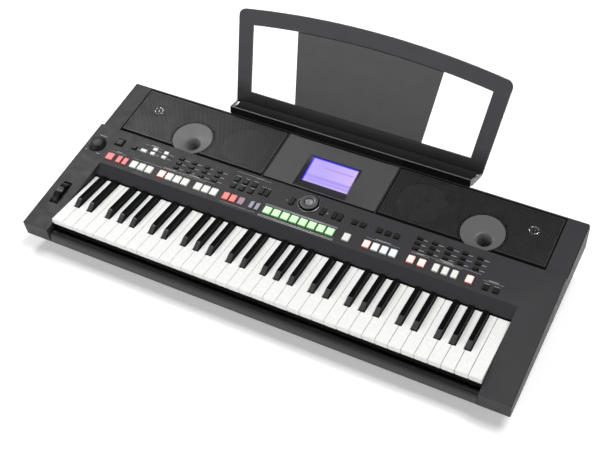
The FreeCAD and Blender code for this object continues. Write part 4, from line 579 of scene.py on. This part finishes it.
WHITE_KEYS = [f"key_{note}" for note in "cdefgab"]
for node in BODY_OF:
    if node.startswith("black_keys") or node.endswith("_sharp"):
        dress(node, "key_ebony", [KEY_EBONY, EBONY_FRONT_PAINTED_SHEEN, EBONY_SIDE], 1.1 * MM, 3, paint=paint_black_key)
    elif node.startswith("white_keys") or node in WHITE_KEYS:
        dress(node, "key_ivory", [KEY_IVORY], 0.6 * MM, 3)


# Buttons

# Colours of a row's caps, each up to a place across the panel in millimetres
CAP_ROWS = {
    "start_buttons": ((math.inf, "pink"),),
    "style_buttons": ((math.inf, "white"),),
    "tempo_buttons": ((-128, "red"), (-110, "mauve"), (math.inf, "grey")),
    "memory_buttons": ((math.inf, "green"),),
    "song_buttons": ((-370, "black"), (math.inf, "white")),
    "part_buttons": ((110, "white"), (200, "blue_white"), (math.inf, "cream")),
}
RED_LIT = {"style_buttons": (-294,), "part_buttons": (136.5, 222, 242.5, 331)}
RED_LIT_REACH = 5
BUTTON_SLOTS = {
    "start_buttons": "button_pink", "style_buttons": "button_white", "tempo_buttons": "button_red",
    "memory_buttons": "button_green", "part_buttons": "button_white", "song_buttons": "button_white",
}
CAP_RISE = 2 * MM
CAP_RIM, CAP_ROUND = 0.9 * MM, 0.45 * MM
DISH_RIM, DISH_DEPTH = 1.2 * MM, 0.35 * MM


def cap_kind(node, x):
    """Colour of a cap by its row and its place across the panel in millimetres."""
    if any(abs(x - place) < RED_LIT_REACH for place in RED_LIT.get(node, ())):
        return "red_lit"
    for limit, kind in CAP_ROWS.get(node, ()):
        if x < limit:
            return kind
    return "black"


def cap_tops(bm):
    """Upper faces of the caps of a button node."""
    return [face for face in bm.faces if face.normal.dot(UP) > 0.99
            and (face.calc_center_median() - PANEL_FOOT).dot(UP) > CAP_RISE]


def dress_buttons(node):
    """Caps with a soft edge, a darker rim and a lighter top, painted shade and painted light; black ones get
    a shallow finger dish.
    """
    bm = clean_copy(node)
    kinds = []
    tops = cap_tops(bm)
    solids = {}
    for face in bm.faces:
        centre = face.calc_center_median()
        top = min(tops, key=lambda other: (other.calc_center_median() - centre).length)
        solids.setdefault(top, []).append(face)
    for top, faces in solids.items():
        kind = cap_kind(node, top.calc_center_median().x / MM)
        if kind not in kinds:
            kinds.append(kind)
        for face in faces:
            face.material_index = 2 * kinds.index(kind)
        top.material_index = 2 * kinds.index(kind) + 1
    weigh(bm, lambda edge: any(face in tops for face in edge.link_faces) or
          all(abs(face.normal.dot(UP)) < 0.1 for face in edge.link_faces))
    materials = [material for kind in kinds for material in CAP_MATERIALS[kind]]
    glowing = [face for face in tops if materials[face.material_index] is not SATIN_BLACK]
    dull = [face for face in tops if face not in glowing]
    if glowing:
        ring = bmesh.ops.inset_individual(bm, faces=glowing, thickness=CAP_RIM, depth=0.0)
        for face in ring["faces"]:
            face.material_index -= 1
    if dull:
        bmesh.ops.inset_individual(bm, faces=dull, thickness=DISH_RIM, depth=-DISH_DEPTH)
    obj = mesh_object(f"{node}_caps", bm, materials)
    add_bevel(obj, CAP_ROUND, 2)
    settle(obj, BODY_OF[node], BUTTON_SLOTS.get(node, "button_black"), node)


for node in BODY_OF:
    if node.endswith(("_buttons", "_button")):
        dress_buttons(node)


# Grilles

PORTS = {side: middle(f"port_ring_{side}", deck_place) for side in ("left", "right")}
PORT_SEAT = 41.3
BITE_STEPS = 72
MESH_PITCH = 3.0
MESH_HOLE = 1.12
MESH_LEVEL = -0.25
MESH_TUCK = 1.9
GRILLE_EDGE = 3.4
# Width of the black seam round each grille, painted shade.
GRILLE_SHADE_SEAM = 1.3
GRILLE_ROUND = 0.3
# Depth of the black band along the front of the grilles and the display, painted shade of the panel's step.
DECK_FRONT_SHADE = 6.2
SHEET_TOP, SHEET_FOOT, SEAM_LEVEL, ROUND_FOOT, LIP_FOOT = -0.5, -2.4, -0.6, -0.2, -1.2


def hexagon(x, along, radius):
    """Corners of a six-sided cell or hole, in millimetres on the deck."""
    turns = [math.pi / 6 + math.pi / 3 * step for step in range(6)]
    return [(x + radius * math.cos(turn), along + radius * math.sin(turn)) for turn in turns]


def grille(side):
    """Perforated steel sheet: a black seam round it and a wider black band at the front, painted shade of
    the gaps and of the panel's step, a plain border, and a field of six-sided holes.
    """
    node = f"grille_{side}"
    low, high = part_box(node)
    west, east = low.x / MM, high.x / MM
    tops = [(vertex.co - DECK_FOOT).dot(ALONG) / MM for vertex in NODES[node].data.vertices
            if (vertex.co - DECK_FOOT).dot(UP) > SHEET_TOP * MM]
    front, rear = min(tops), max(tops)
    port_x, port_y = PORTS[side]

    def outline(margin, front_shade=0.0):
        """Edge of the sheet, drawn in by a margin and a front band of painted shade, with the round bite for
        the port.
        """
        reach = PORT_SEAT + margin / 2
        edge = front + margin + front_shade
        half = math.sqrt(max(0, reach ** 2 - (port_y - edge) ** 2))
        start = math.atan2(edge - port_y, -half)
        end = math.atan2(edge - port_y, half)
        sweep = (end - start) % (2 * math.pi)
        points = [(west + margin, edge)]
        back = 2 * math.pi - sweep
        for step in range(BITE_STEPS + 1):
            turn = start - back * step / BITE_STEPS
            points.append((port_x + reach * math.cos(turn), port_y + reach * math.sin(turn)))
        points += [(east - margin, edge), (east - margin, rear - margin), (west + margin, rear - margin)]
        return points

    bm = bmesh.new()
    outer, shade_seam, inner = outline(0), outline(GRILLE_SHADE_SEAM, DECK_FRONT_SHADE), outline(GRILLE_EDGE, DECK_FRONT_SHADE)
    crest = outline(GRILLE_SHADE_SEAM + GRILLE_ROUND, DECK_FRONT_SHADE)
    loops = []
    for points, above in ((outer, SHEET_FOOT), (outer, SEAM_LEVEL), (shade_seam, SEAM_LEVEL), (shade_seam, ROUND_FOOT),
                          (crest, 0.0), (inner, 0.0), (inner, LIP_FOOT)):
        loops.append([bm.verts.new(on_deck(x, along, above)) for x, along in points])
    # Index 1 is the black seam and front band, painted shade.
    stitch(bm, loops, [1, 1, 1, 0, 0, 0])
    row_step = MESH_PITCH * math.sqrt(3) / 2
    corner = MESH_PITCH / math.sqrt(3)
    shared = {}

    def vertex(x, along):
        """Corner that neighbouring cells share."""
        key = (round(x, 2), round(along, 2))
        if key not in shared:
            shared[key] = bm.verts.new(on_deck(x, along, MESH_LEVEL))
        return shared[key]

    field = GRILLE_EDGE - MESH_TUCK
    rows = int((rear - front) / row_step) + 1
    columns = int((east - west) / MESH_PITCH) + 1
    for row in range(rows):
        along = front + row * row_step
        shift = MESH_PITCH / 2 if row % 2 else 0
        for column in range(columns):
            x = west + shift + column * MESH_PITCH
            cell = hexagon(x, along, corner)
            inside = all(
                west + field < cx < east - field and front + DECK_FRONT_SHADE + field < cy < rear - field
                and math.hypot(cx - port_x, cy - port_y) > PORT_SEAT + field
                for cx, cy in cell
            )
            if not inside:
                continue
            hole = hexagon(x, along, MESH_HOLE)
            rim = [vertex(cx, cy) for cx, cy in cell]
            edge = [bm.verts.new(on_deck(cx, cy, MESH_LEVEL)) for cx, cy in hole]
            stitch(bm, [rim, edge], [0])
    bmesh.ops.recalc_face_normals(bm, faces=bm.faces)
    settle(mesh_object(f"{node}_mesh", bm, [GRILLE, PAINTED_SHADE_BLACK]), "root", "grille_steel", node)


for side in PORTS:
    grille(side)


# Ports

BORE_SHIFT = (8.0, -13.5)
PORT_SEGMENTS = 96


def port_ring(side):
    """Disc that falls slightly towards its off-centre bore, rolled over into the tube below; the tube is
    painted lighter than the disc, painted light inside the shaded bore.
    """
    node = f"port_ring_{side}"
    x, along = PORTS[side]
    heights = [deck_place(vertex.co)[2] for vertex in NODES[node].data.vertices]
    top, foot = max(heights), min(heights)
    bm = bmesh.new()
    # Part of the bore's shift, radius, height and material
    stages = [(0.0, 40.6, -2.6, 0), (0.0, 40.6, -0.5, 0), (0.0, 40.1, top, 0), (0.02, 39.2, top, 0),
              (0.55, 27.0, top - 0.35, 0), (0.9, 18.0, top - 0.8, 0), (1.0, 15.6, top - 1.1, 0),
              (1.0, 14.7, top - 1.8, 1), (1.0, 14.4, top - 3.0, 1), (1.0, 14.4, foot, 1),
              (1.0, 16.4, foot, 1), (1.0, 16.4, -2.8, 1), (0.0, 40.4, -2.6, 1)]
    rings = []
    for shift, radius, above, _ in stages:
        centre = (x + BORE_SHIFT[0] * shift, along + BORE_SHIFT[1] * shift)
        ring = []
        for step in range(PORT_SEGMENTS):
            turn = 2 * math.pi * step / PORT_SEGMENTS
            ring.append(bm.verts.new(on_deck(centre[0] + radius * math.cos(turn),
                                             centre[1] + radius * math.sin(turn), above)))
        rings.append(ring)
    stitch(bm, rings, [stage[3] for stage in stages])
    bmesh.ops.recalc_face_normals(bm, faces=bm.faces)
    settle(mesh_object(f"{node}_flare", bm, [PORT_GREY, PORT_BORE_PAINTED_LIGHT], sharp=50), "root", "port_grey", node)


for side in PORTS:
    port_ring(side)


# Display

FLAT = 0.995
SUNK = -2


def paint_display(bm):
    """The upper face is dotted behind a black front band, painted shade of the panel's step; the sunk frame
    and the outer sides are smooth.
    """
    front_shade = min(deck_place(vertex.co)[1] for vertex in bm.verts) + GRILLE_SHADE_SEAM + DECK_FRONT_SHADE
    bmesh.ops.bisect_plane(bm, geom=bm.verts[:] + bm.edges[:] + bm.faces[:],
                           plane_co=on_deck(0, front_shade, 0), plane_no=ALONG)
    for face in bm.faces:
        _, along, above = deck_place(face.calc_center_median())
        if face.normal.dot(UP) < FLAT or above < SUNK:
            face.material_index = 1
        elif along < front_shade:
            face.material_index = 2


SCREEN_WIDTH = 94.8
SCREEN_HEIGHT = 57
SCREEN_SLOPE = math.radians(17.2)
SCREEN_RUN = SCREEN_HEIGHT * math.cos(SCREEN_SLOPE)


def screen():
    """Lit window with its own picture plane from lower left to upper right."""
    bm = clean_copy("display_window")
    top = max(bm.faces, key=lambda face: face.normal.z * face.calc_area())
    uv = bm.loops.layers.uv.new("screen")
    for face in bm.faces:
        face.material_index = 0 if face is top else 1
    middle = top.calc_center_median()
    for loop in top.loops:
        away = (loop.vert.co - middle) / MM
        loop[uv].uv = (0.5 + away.x / SCREEN_WIDTH, 0.5 + away.y / SCREEN_RUN)
    obj = mesh_object("display_window_lit", bm, [LCD, DISPLAY_FRAME])
    settle(obj, BODY_OF["display_window"], "display_glass", "display_window")


dress("display_panel", "display_black", [DISPLAY_FACE, DISPLAY_FRAME, PAINTED_SHADE_BLACK], 0.5 * MM, 2,
      paint=paint_display)
screen()


# Music rest

REST_LEAN = math.radians(18)
REST_FOOT = Vector((0, KEY_FRONT + 417.7 * MM, 136 * MM))
REST_UP = Vector((0, math.sin(REST_LEAN), math.cos(REST_LEAN)))
REST_OUT = Vector((0, -math.cos(REST_LEAN), math.sin(REST_LEAN)))
LIP_OUT, LIP_HIGH, LIP_FLAT = 1, 6, 0.6
SEAM_WIDTH = 1.1 * MM
SEAM_BELOW, SEAM_ABOVE = 29, 150
REST_LONG_EDGE = 6 * MM


def on_rest(x, up, out):
    """A point in millimetres across, up and in front of the rest's plate."""
    return REST_FOOT + (ACROSS * x + REST_UP * up + REST_OUT * out) * MM


def rest_place(point):
    """Millimetres across, up and in front of the rest's plate."""
    away = (point - REST_FOOT) / MM
    return away.x, away.dot(REST_UP), away.dot(REST_OUT)


def paint_rest(bm):
    """The lip is polished black and the floor of the book trough dark grey."""
    for face in bm.faces:
        _, up, out = rest_place(face.calc_center_median())
        if out > LIP_OUT and up < LIP_HIGH:
            face.material_index = 3 if face.normal.z > LIP_FLAT else 1


def rest_insert():
    """Centre plate with a dark seam painted along its upper and lower edges, painted shade of the grooves
    there.
    """
    bm = clean_copy("music_rest_insert")
    front = max(bm.faces, key=lambda face: face.normal.dot(REST_OUT) * face.calc_area())
    ring = bmesh.ops.inset_individual(bm, faces=[front], thickness=SEAM_WIDTH, depth=0.0)
    for face in ring["faces"]:
        _, up, _ = rest_place(face.calc_center_median())
        if up < SEAM_BELOW or up > SEAM_ABOVE:
            longest = max(face.edges, key=lambda edge: edge.calc_length())
            run = longest.verts[1].co - longest.verts[0].co
            if abs(run.x) > 0.5 * run.length:
                face.material_index = 1
    obj = mesh_object("music_rest_plate", bm, [INSERT_GREY, REST_GROOVE_SHADE])
    settle(obj, BODY_OF["music_rest_insert"], "rest_grey", "music_rest_insert")


TROUGH_END = [(2.6, 42.6), (-11.0, 38.6), (-12.0, 30.2), (-2.2, 0.2), (4.2, 0.2)]
LIP_HALF, FOOT_HALF, STOP_THICK = 254.3, 261.8, 1.8


def trough_ends():
    """Slanting stops that close the ends of the book trough, from the lip out to the foot of the plate."""
    bm = bmesh.new()
    reach = TROUGH_END[0][1]
    for sign in (-1, 1):
        loops = []
        for inset in (0.0, STOP_THICK):
            halves = [FOOT_HALF + (LIP_HALF - FOOT_HALF) * out / reach - inset for _, out in TROUGH_END]
            loops.append([on_rest(sign * half, up, out) for half, (up, out) in zip(halves, TROUGH_END)])
        prism(bm, *loops)
    bmesh.ops.recalc_face_normals(bm, faces=bm.faces)
    settle(mesh_object("music_rest_stops", bm, [STOP_GREY_BEAD_HIGHLIGHT]), BODY_OF["music_rest"], "rest_grey")


SKIRT = [(377.2, 137.2), (380.5, 135.7), (380.5, 130.3), (378.9, 131.4), (377.6, 133.2)]
TRIM_HALF = 253.6
BEAD_UP, BEAD_OUT, BEAD_RADIUS = 2.5, 42.4, 1.0


def trough_trim():
    """Skirt that closes the gap between the trough and the case, and a light grey bead along the lip as a
    painted highlight.
    """
    bm = bmesh.new()
    prism(bm, *[[(x * MM, KEY_FRONT + y * MM, z * MM) for y, z in SKIRT] for x in (-TRIM_HALF, TRIM_HALF)])
    bead = [(0, -TRIM_HALF, 1), (BEAD_RADIUS, -TRIM_HALF, 1), (BEAD_RADIUS, TRIM_HALF, 1), (0, TRIM_HALF, 1)]
    lathe(bm, on_rest(0, BEAD_UP, BEAD_OUT), ACROSS, bead, segments=12)
    bmesh.ops.recalc_face_normals(bm, faces=bm.faces)
    settle(mesh_object("music_rest_trim", bm, [GLOSS_BLACK, STOP_GREY_BEAD_HIGHLIGHT]), BODY_OF["music_rest"], "rest_grey")


# The rest's rounded long edges take the lighter edge material, a painted highlight.
dress("music_rest", "rest_grey", [REST_GREY_PAINTED_SHADE, GLOSS_BLACK, REST_EDGE_HIGHLIGHT, TROUGH_GREY], 0.8 * MM, 2,
      lambda edge: edge.calc_length() > REST_LONG_EDGE, paint_rest, 2)
rest_insert()
trough_ends()
trough_trim()


# Knob, dial and wheel

turned_piece(
    "volume_knob_turned", pivot("volume_turn"),
    [(0, -5, 0), (2.8, -5, 0), (2.8, 0.6, 0), (17.4, 0.6, 0), (18, 1.0, 0), (18, 2.1, 0), (17.5, 2.8, 0),
     (13.6, 7.0, 0), (12.9, 7.7, 0), (12.2, 8.0, 1), (11.5, 7.9, 1), (10.4, 7.3, 1), (6, 6.9, 1),
     (0, 6.8, 1)],
    [SATIN_BLACK, DARK_TOP], "volume_knob", "knob_black",
)
turned_piece(
    "data_dial_turned", DIAL,
    [(0, -5, 0), (2.8, -5, 0), (2.8, 0.6, 0), (17.3, 0.6, 0), (17.8, 1.0, 0), (17.8, 4.3, 0), (17.5, 4.8, 0),
     (16.8, 5.0, 1), (9.2, 4.9, 0), (8.5, 4.6, 0), (7.9, 3.6, 2), (5.5, 3.1, 2), (0, 3.0, 2)],
    [SATIN_BLACK, DIAL_GREY, DISH_GREY], "data_dial", "dial_silver",
)
turned_piece(
    "dial_ring_turned", DIAL,
    [(18.4, 0, 0), (18.4, 1.7, 0), (18.8, 2.2, 0), (20.9, 2.2, 1), (21.6, 1.9, 1), (22, 1.2, 0),
     (22, 0, 0), (18.4, 0, 0)],
    [SATIN_BLACK, SILVER], "dial_ring", "trim_black",
)

WHEEL_RADIUS, WHEEL_WIDTH = 30.0, 13.0
WHEEL_STEPS = 360
WHEEL_ROUND, WHEEL_ROUND_DROP = 0.8, 0.9
RIB_STEPS, RIB_DEPTH = 4, 0.45
# Degrees to the end of the notch and of its painted highlight, depth, and how full its hollow is
NOTCH_REACH, NOTCH_HIGHLIGHT_REACH, NOTCH_DEPTH, NOTCH_POWER = 11, 10.5, 3.2, 0.7
AXLE_RADIUS, AXLE_START, AXLE_END = 2.8, 6.4, 10


def pitch_wheel():
    """Wheel with fine ribs and a thumb notch painted lighter grey as a painted highlight, on its axle."""
    hub = pivot("pitch_bend")
    outline = []
    for step in range(WHEEL_STEPS):
        turn = 2 * math.pi * step / WHEEL_STEPS
        away = abs(math.degrees((turn + math.pi) % (2 * math.pi) - math.pi))
        radius = WHEEL_RADIUS - (RIB_DEPTH if step % RIB_STEPS < RIB_STEPS / 2 else 0.0)
        if away < NOTCH_REACH:
            hollow = math.cos(math.radians(away / NOTCH_REACH * 90)) ** NOTCH_POWER
            radius = WHEEL_RADIUS - NOTCH_DEPTH * hollow
        outline.append((turn, radius, away < NOTCH_HIGHLIGHT_REACH))
    bm = bmesh.new()
    half = WHEEL_WIDTH / 2
    flat = half - WHEEL_ROUND
    rings = []
    for x, drop in ((-half, WHEEL_ROUND_DROP), (-flat, 0.0), (flat, 0.0), (half, WHEEL_ROUND_DROP)):
        ring = []
        for turn, radius, _ in outline:
            away = UP * math.cos(turn) + ALONG * math.sin(turn)
            ring.append(bm.verts.new(hub + (ACROSS * x + away * (radius - drop)) * MM))
        rings.append(ring)
    for left, right in zip(rings, rings[1:]):
        for step in range(WHEEL_STEPS):
            after = (step + 1) % WHEEL_STEPS
            face = bm.faces.new([left[step], left[after], right[after], right[step]])
            face.material_index = 1 if outline[step][2] else 0
    bm.faces.new(rings[0])
    bm.faces.new(list(reversed(rings[-1])))
    lathe(bm, hub, ACROSS,
          [(0, -AXLE_END, 0), (AXLE_RADIUS, -AXLE_END, 0), (AXLE_RADIUS, -AXLE_START, 0)], segments=24)
    lathe(bm, hub, ACROSS,
          [(AXLE_RADIUS, AXLE_START, 0), (AXLE_RADIUS, AXLE_END, 0), (0, AXLE_END, 0)], segments=24)
    bmesh.ops.recalc_face_normals(bm, faces=bm.faces)
    obj = mesh_object("pitch_wheel_ribbed", bm, [SATIN_BLACK, WHEEL_PAINTED_HIGHLIGHT], sharp=25)
    settle(obj, BODY_OF["pitch_wheel"], "wheel_black", "pitch_wheel")


pitch_wheel()


# Speaker trims under the mesh

TWEETER_X, TWEETER_ALONG = 394.5, 337.5


def tweeter_trims():
    """Bright trim rings and domes of the tweeters, just under the mesh."""
    bm = bmesh.new()
    for sign in (-1, 1):
        lathe(bm, on_deck(sign * TWEETER_X, TWEETER_ALONG), UP,
              [(12.0, -6.0, 1), (11.2, -3.4, 1), (10.4, -2.0, 0), (9.2, -1.2, 0), (7.8, -1.0, 0),
               (6.8, -1.4, 0), (6.2, -2.6, 1), (4.6, -2.2, 1), (2.4, -1.4, 0), (0, -1.2, 0)], segments=56)
    bmesh.ops.recalc_face_normals(bm, faces=bm.faces)
    settle(mesh_object("tweeter_trims", bm, [BRIGHT, SATIN_BLACK], sharp=50), "root", "speaker_black")


tweeter_trims()


# Print and small trim on the panel


def cap_places(node):
    """Middle, width and depth of every cap of a node, in millimetres on the panel."""
    bm = clean_copy(node)
    places = []
    for face in cap_tops(bm):
        x, along, _ = zip(*[panel_place(vertex.co) for vertex in face.verts])
        places.append(((min(x) + max(x)) / 2, (min(along) + max(along)) / 2,
                       max(x) - min(x), max(along) - min(along)))
    bm.free()
    return places


GOLDEN_ANGLE = 2.399


def uneven(step):
    """Repeatable variation between 0.7 and 1 for the lengths of the printed bars."""
    return 0.85 + 0.15 * math.sin(step * GOLDEN_ANGLE)


PRINTED = 0.08
INK = 0.12
BESIDE_LENGTH, BESIDE_GAP, BESIDE_DROP = 10.5, 2.2, 0.6
BEHIND_SPARE, BEHIND_GAP = 1.5, 2.4
ROW_SHARE, ROW_GAP, ROW_DEPTH = 0.62, 2.2, 0.9
RULE_DEPTH, GROUP_DEPTH = 0.5, 1.2
# Left and right end and place along the panel of the group rules
GROUP_RULES = (
    (-420, -384, 199.5), (-366, -206, 199.5), (130, 195, 199.5), (216, 250, 199.5), (262, 311, 199.5),
    (-281, -186, 202.5), (216, 345, 202.5), (-158, -84, 171), (-120, -88, 246.5), (-162, -104, 247.5),
    (352, 390, 193.5), (-366, -322, 240),
)
# Middle, place along the panel and length of the bars beside the group rules and the controls
GROUP_BARS = (
    (-402, 201.6, 12), (-286, 201.8, 26), (162, 201.8, 30), (233, 201.8, 16), (286, 201.8, 22),
    (371, 195.8, 18), (-233, 204.6, 24), (280, 204.6, 24), (-344, 242, 16), (-456, 226.5, 18),
    (-442, 183, 8), (-470, 184, 5),
)
DISPLAY_MIDDLE = -0.5


def printing():
    """Plain bars where such panels carry printed legends, thin group rules, and two lamp dots."""
    bm = bmesh.new()

    def line(x, along, width, depth=1.0, index=0):
        """Bar as thin as ink."""
        bar(bm, x, along, width, depth, PRINTED, INK, index)

    step = 0
    for node in ("category_buttons", "song_buttons"):
        for x, along, width, _ in cap_places(node):
            step += 1
            length = BESIDE_LENGTH * uneven(step)
            line(x + width / 2 + BESIDE_GAP + length / 2, along - BESIDE_DROP, length)
    for node in ("menu_buttons", "octave_buttons"):
        for x, along, width, depth in cap_places(node):
            step += 1
            line(x, along + depth / 2 + BEHIND_GAP, (width + BEHIND_SPARE) * uneven(step))
    for node in ("start_buttons", "style_buttons", "tempo_buttons", "part_buttons"):
        for x, along, width, depth in cap_places(node):
            step += 1
            line(x, along + depth / 2 + ROW_GAP, width * ROW_SHARE * uneven(step), ROW_DEPTH)
    for left, right, along in GROUP_RULES:
        line((left + right) / 2, along, right - left, RULE_DEPTH)
    for middle, along, length in GROUP_BARS:
        line(middle, along, length, GROUP_DEPTH)
    bar(bm, DISPLAY_MIDDLE, 197.2, 147, 4.4, 0.2, 0.24, 1)
    line(DISPLAY_MIDDLE, 171.4, 153, 0.9, 2)
    line(DISPLAY_MIDDLE, 168.6, 153, 0.9, 2)
    for x in (-42, 42):
        lathe(bm, on_panel(x, 221), UP, [(0.9, 0, 2), (0.8, 0.3, 2), (0, 0.45, 2)], segments=16)
    settle(mesh_object("panel_print", bm, [PRINT, BAR_GREY, PRINT_BRIGHT]), "root", "trim_black")


POWER_SIZE = 14.2
WHEEL_SLOT_SPARE, WHEEL_SLOT = 3.2, 52


def frame_round(bm, x, along, width, depth, rim, above, thickness):
    """Raised rectangular rim round an opening of the panel."""
    for sign in (-1, 1):
        bar(bm, x + sign * (width + rim) / 2, along, rim, depth + 2 * rim, above, thickness)
        bar(bm, x, along + sign * (depth + rim) / 2, width, rim, above, thickness)


def small_trim():
    """Rims round the power button and the wheel's slot."""
    bm = bmesh.new()
    frame_round(bm, *middle("power_button", panel_place), POWER_SIZE, POWER_SIZE, 1.8, 1.6, 1.62)
    x, along, _ = panel_place(pivot("pitch_bend"))
    frame_round(bm, x, along, WHEEL_WIDTH + WHEEL_SLOT_SPARE, WHEEL_SLOT, 1.1, 0.5, 0.52)
    settle(mesh_object("panel_rims", bm, [SATIN_BLACK]), "root", "trim_black")


KEY_PITCH = 23.5
STRIP_HALF = 18 * KEY_PITCH + 0.5
STRIP_ALONG, STRIP_HEIGHTS = (140.4, 145), (80.6, 82.6)


def key_strip():
    """Black strip that closes the gap between the fallboard and the key tops: painted shade for the shadow
    under the fallboard.
    """
    bm = bmesh.new()
    corners = [bm.verts.new((x * MM, KEY_FRONT + y * MM, z * MM))
               for x in (-STRIP_HALF, STRIP_HALF) for y in STRIP_ALONG for z in STRIP_HEIGHTS]
    bmesh.ops.convex_hull(bm, input=corners)
    settle(mesh_object("key_strip", bm, [PAINTED_SHADE_BLACK]), "root", "trim_black")


def jack_nuts():
    """Metal ferrules round the four rear sockets."""
    bm = bmesh.new()
    for socket in SOCKETS:
        axis = Vector(socket["axis"])
        mouth = Vector(socket["pos_m"]) + axis * socket["dims"]["length_mm"] / 2 * MM
        lathe(bm, mouth, axis,
              [(3.5, -4, 0), (3.5, 0.1, 0), (3.9, 0.4, 0), (4.9, 0.4, 0), (5.3, 0.0, 0), (5.3, -1.0, 0)],
              segments=40)
    settle(mesh_object("jack_ferrules", bm, [BRIGHT], sharp=40), "root", "socket_black")


printing()
small_trim()
key_strip()
jack_nuts()


# Camera, light and floor


def camera():
    """The photo's camera."""
    data = bpy.data.cameras.new("camera")
    data.sensor_width = 36
    data.lens = 64.47
    data.clip_end = 50
    obj = bpy.data.objects.new("camera", data)
    obj.location = (0.675, -1.3543, 1.401)
    obj.rotation_euler = (math.radians(48.03), 0, math.radians(27.3))
    bpy.context.scene.collection.objects.link(obj)
    bpy.context.scene.camera = obj


def area_light(name, place, aim, size, power):
    """Soft lamp turned to a point; lengths in metres, power in watts."""
    data = bpy.data.lights.new(name, "AREA")
    data.shape = "RECTANGLE"
    data.size, data.size_y = size
    data.energy = power
    obj = bpy.data.objects.new(name, data)
    obj.location = place
    obj.rotation_euler = (Vector(aim) - Vector(place)).to_track_quat("-Z", "Y").to_euler()
    bpy.context.scene.collection.objects.link(obj)


FLOOR_LIFT = 0.31
LIFT_NEAR, LIFT_FAR = 1.2, 3.5
FLOOR_REACH = 30.0
# Place from the horizon to the zenith, and brightness
SKY_LEVELS = ((0.0, 1.0), (0.06, 0.85), (0.18, 0.65), (0.4, 0.28), (0.6, 0.08), (0.74, 0.06), (0.9, 0.1),
              (1.0, 0.15))


def lay_floor():
    """White floor that a camera or a mirror sees as brighter far away."""
    bm = bmesh.new()
    reach = FLOOR_REACH
    bm.faces.new([bm.verts.new((x, y, 0)) for x, y in
                  ((-reach, -reach), (reach, -reach), (reach, reach), (-reach, reach))])
    made = Nodes("floor_white")
    made.join(made.mix(made.noise(0.7, 2.0), (0.93, 0.93, 0.93, 1), (0.95, 0.95, 0.95, 1)),
              made.shader.inputs["Base Color"])
    made.set(Roughness=0.9, Specular_IOR_Level=0.1, Emission_Color=(1, 1, 1, 1))
    seen = made.add("ShaderNodeLightPath")
    rays = seen.outputs["Is Camera Ray"]
    for other in ("Is Glossy Ray", "Is Transmission Ray"):
        rays = made.maths("MAXIMUM", rays, seen.outputs[other])
    away = made.add("ShaderNodeVectorMath", operation="LENGTH")
    made.join(made.place, away.inputs[0])
    lift = made.spread(away.outputs["Value"], FLOOR_LIFT, 1.0, LIFT_NEAR, LIFT_FAR)
    made.join(made.maths("MULTIPLY", rays, lift), made.shader.inputs["Emission Strength"])
    floor = mesh_object("floor", bm, [made.material])


def studio():
    """Surroundings that are bright low down; lamps at the rear left, above right, in front and beside."""
    world = bpy.data.worlds.new("studio")
    world.use_nodes = True
    tree = world.node_tree
    back = tree.nodes["Background"]
    place = tree.nodes.new("ShaderNodeTexCoord")
    split = tree.nodes.new("ShaderNodeSeparateXYZ")
    ramp = tree.nodes.new("ShaderNodeValToRGB")
    tree.links.new(place.outputs["Generated"], split.inputs["Vector"])
    tree.links.new(split.outputs["Z"], ramp.inputs["Fac"])
    ramp.color_ramp.elements[0].position = SKY_LEVELS[0][0]
    ramp.color_ramp.elements[1].position = SKY_LEVELS[-1][0]
    for position, _ in SKY_LEVELS[1:-1]:
        ramp.color_ramp.elements.new(position)
    for element, (_, level) in zip(ramp.color_ramp.elements, SKY_LEVELS):
        element.color = (level, level, level, 1)
    tree.links.new(ramp.outputs["Color"], back.inputs["Color"])
    back.inputs["Strength"].default_value = 1.0
    bpy.context.scene.world = world
    area_light("lamp_main", (-2.0, 0.8, 2.9), (0, 0, 0), (1.1, 1.1), 43)
    area_light("lamp_top", (1.5, 0.3, 4.6), (0, 0, 0), (2.2, 2.2), 145)
    area_light("lamp_front", (-1.6, -3.6, 1.7), (0, 0, 0.1), (3.0, 2.0), 40)
    area_light("lamp_side", (3.2, -0.6, 1.3), (0, 0, 0.1), (1.5, 1.5), 3)


camera()
lay_floor()
studio()
bpy.context.scene.view_settings.view_transform = "Standard"

# Frame pieces that keep their own mesh

KEPT = {
    "display_module": SATIN_BLACK, "key_chassis": STEEL, "key_contact_board": BOARD,
    "key_contact_strip": RUBBER, "key_stop_felt": FELT, "panel_boards": BOARD, "main_board": BOARD,
    "jack_board": BOARD, "rear_jacks": SATIN_BLACK, "power_inlet": SATIN_BLACK, "woofers": CONE,
    "tweeters": CONE, "volume_pot": STEEL, "dial_encoder": STEEL, "pitch_wheel_cradle": SATIN_BLACK,
    "rubber_feet": RUBBER, "case_screws": STEEL,
}


def keep(node, material):
    """Gives a frame piece that stays in view a finished material."""
    mesh = NODES[node].data
    mesh.materials.clear()
    mesh.materials.append(material)


for node, obj in NODES.items():
    if not obj.hide_render:
        keep(node, KEPT.get(node, CHARCOAL))
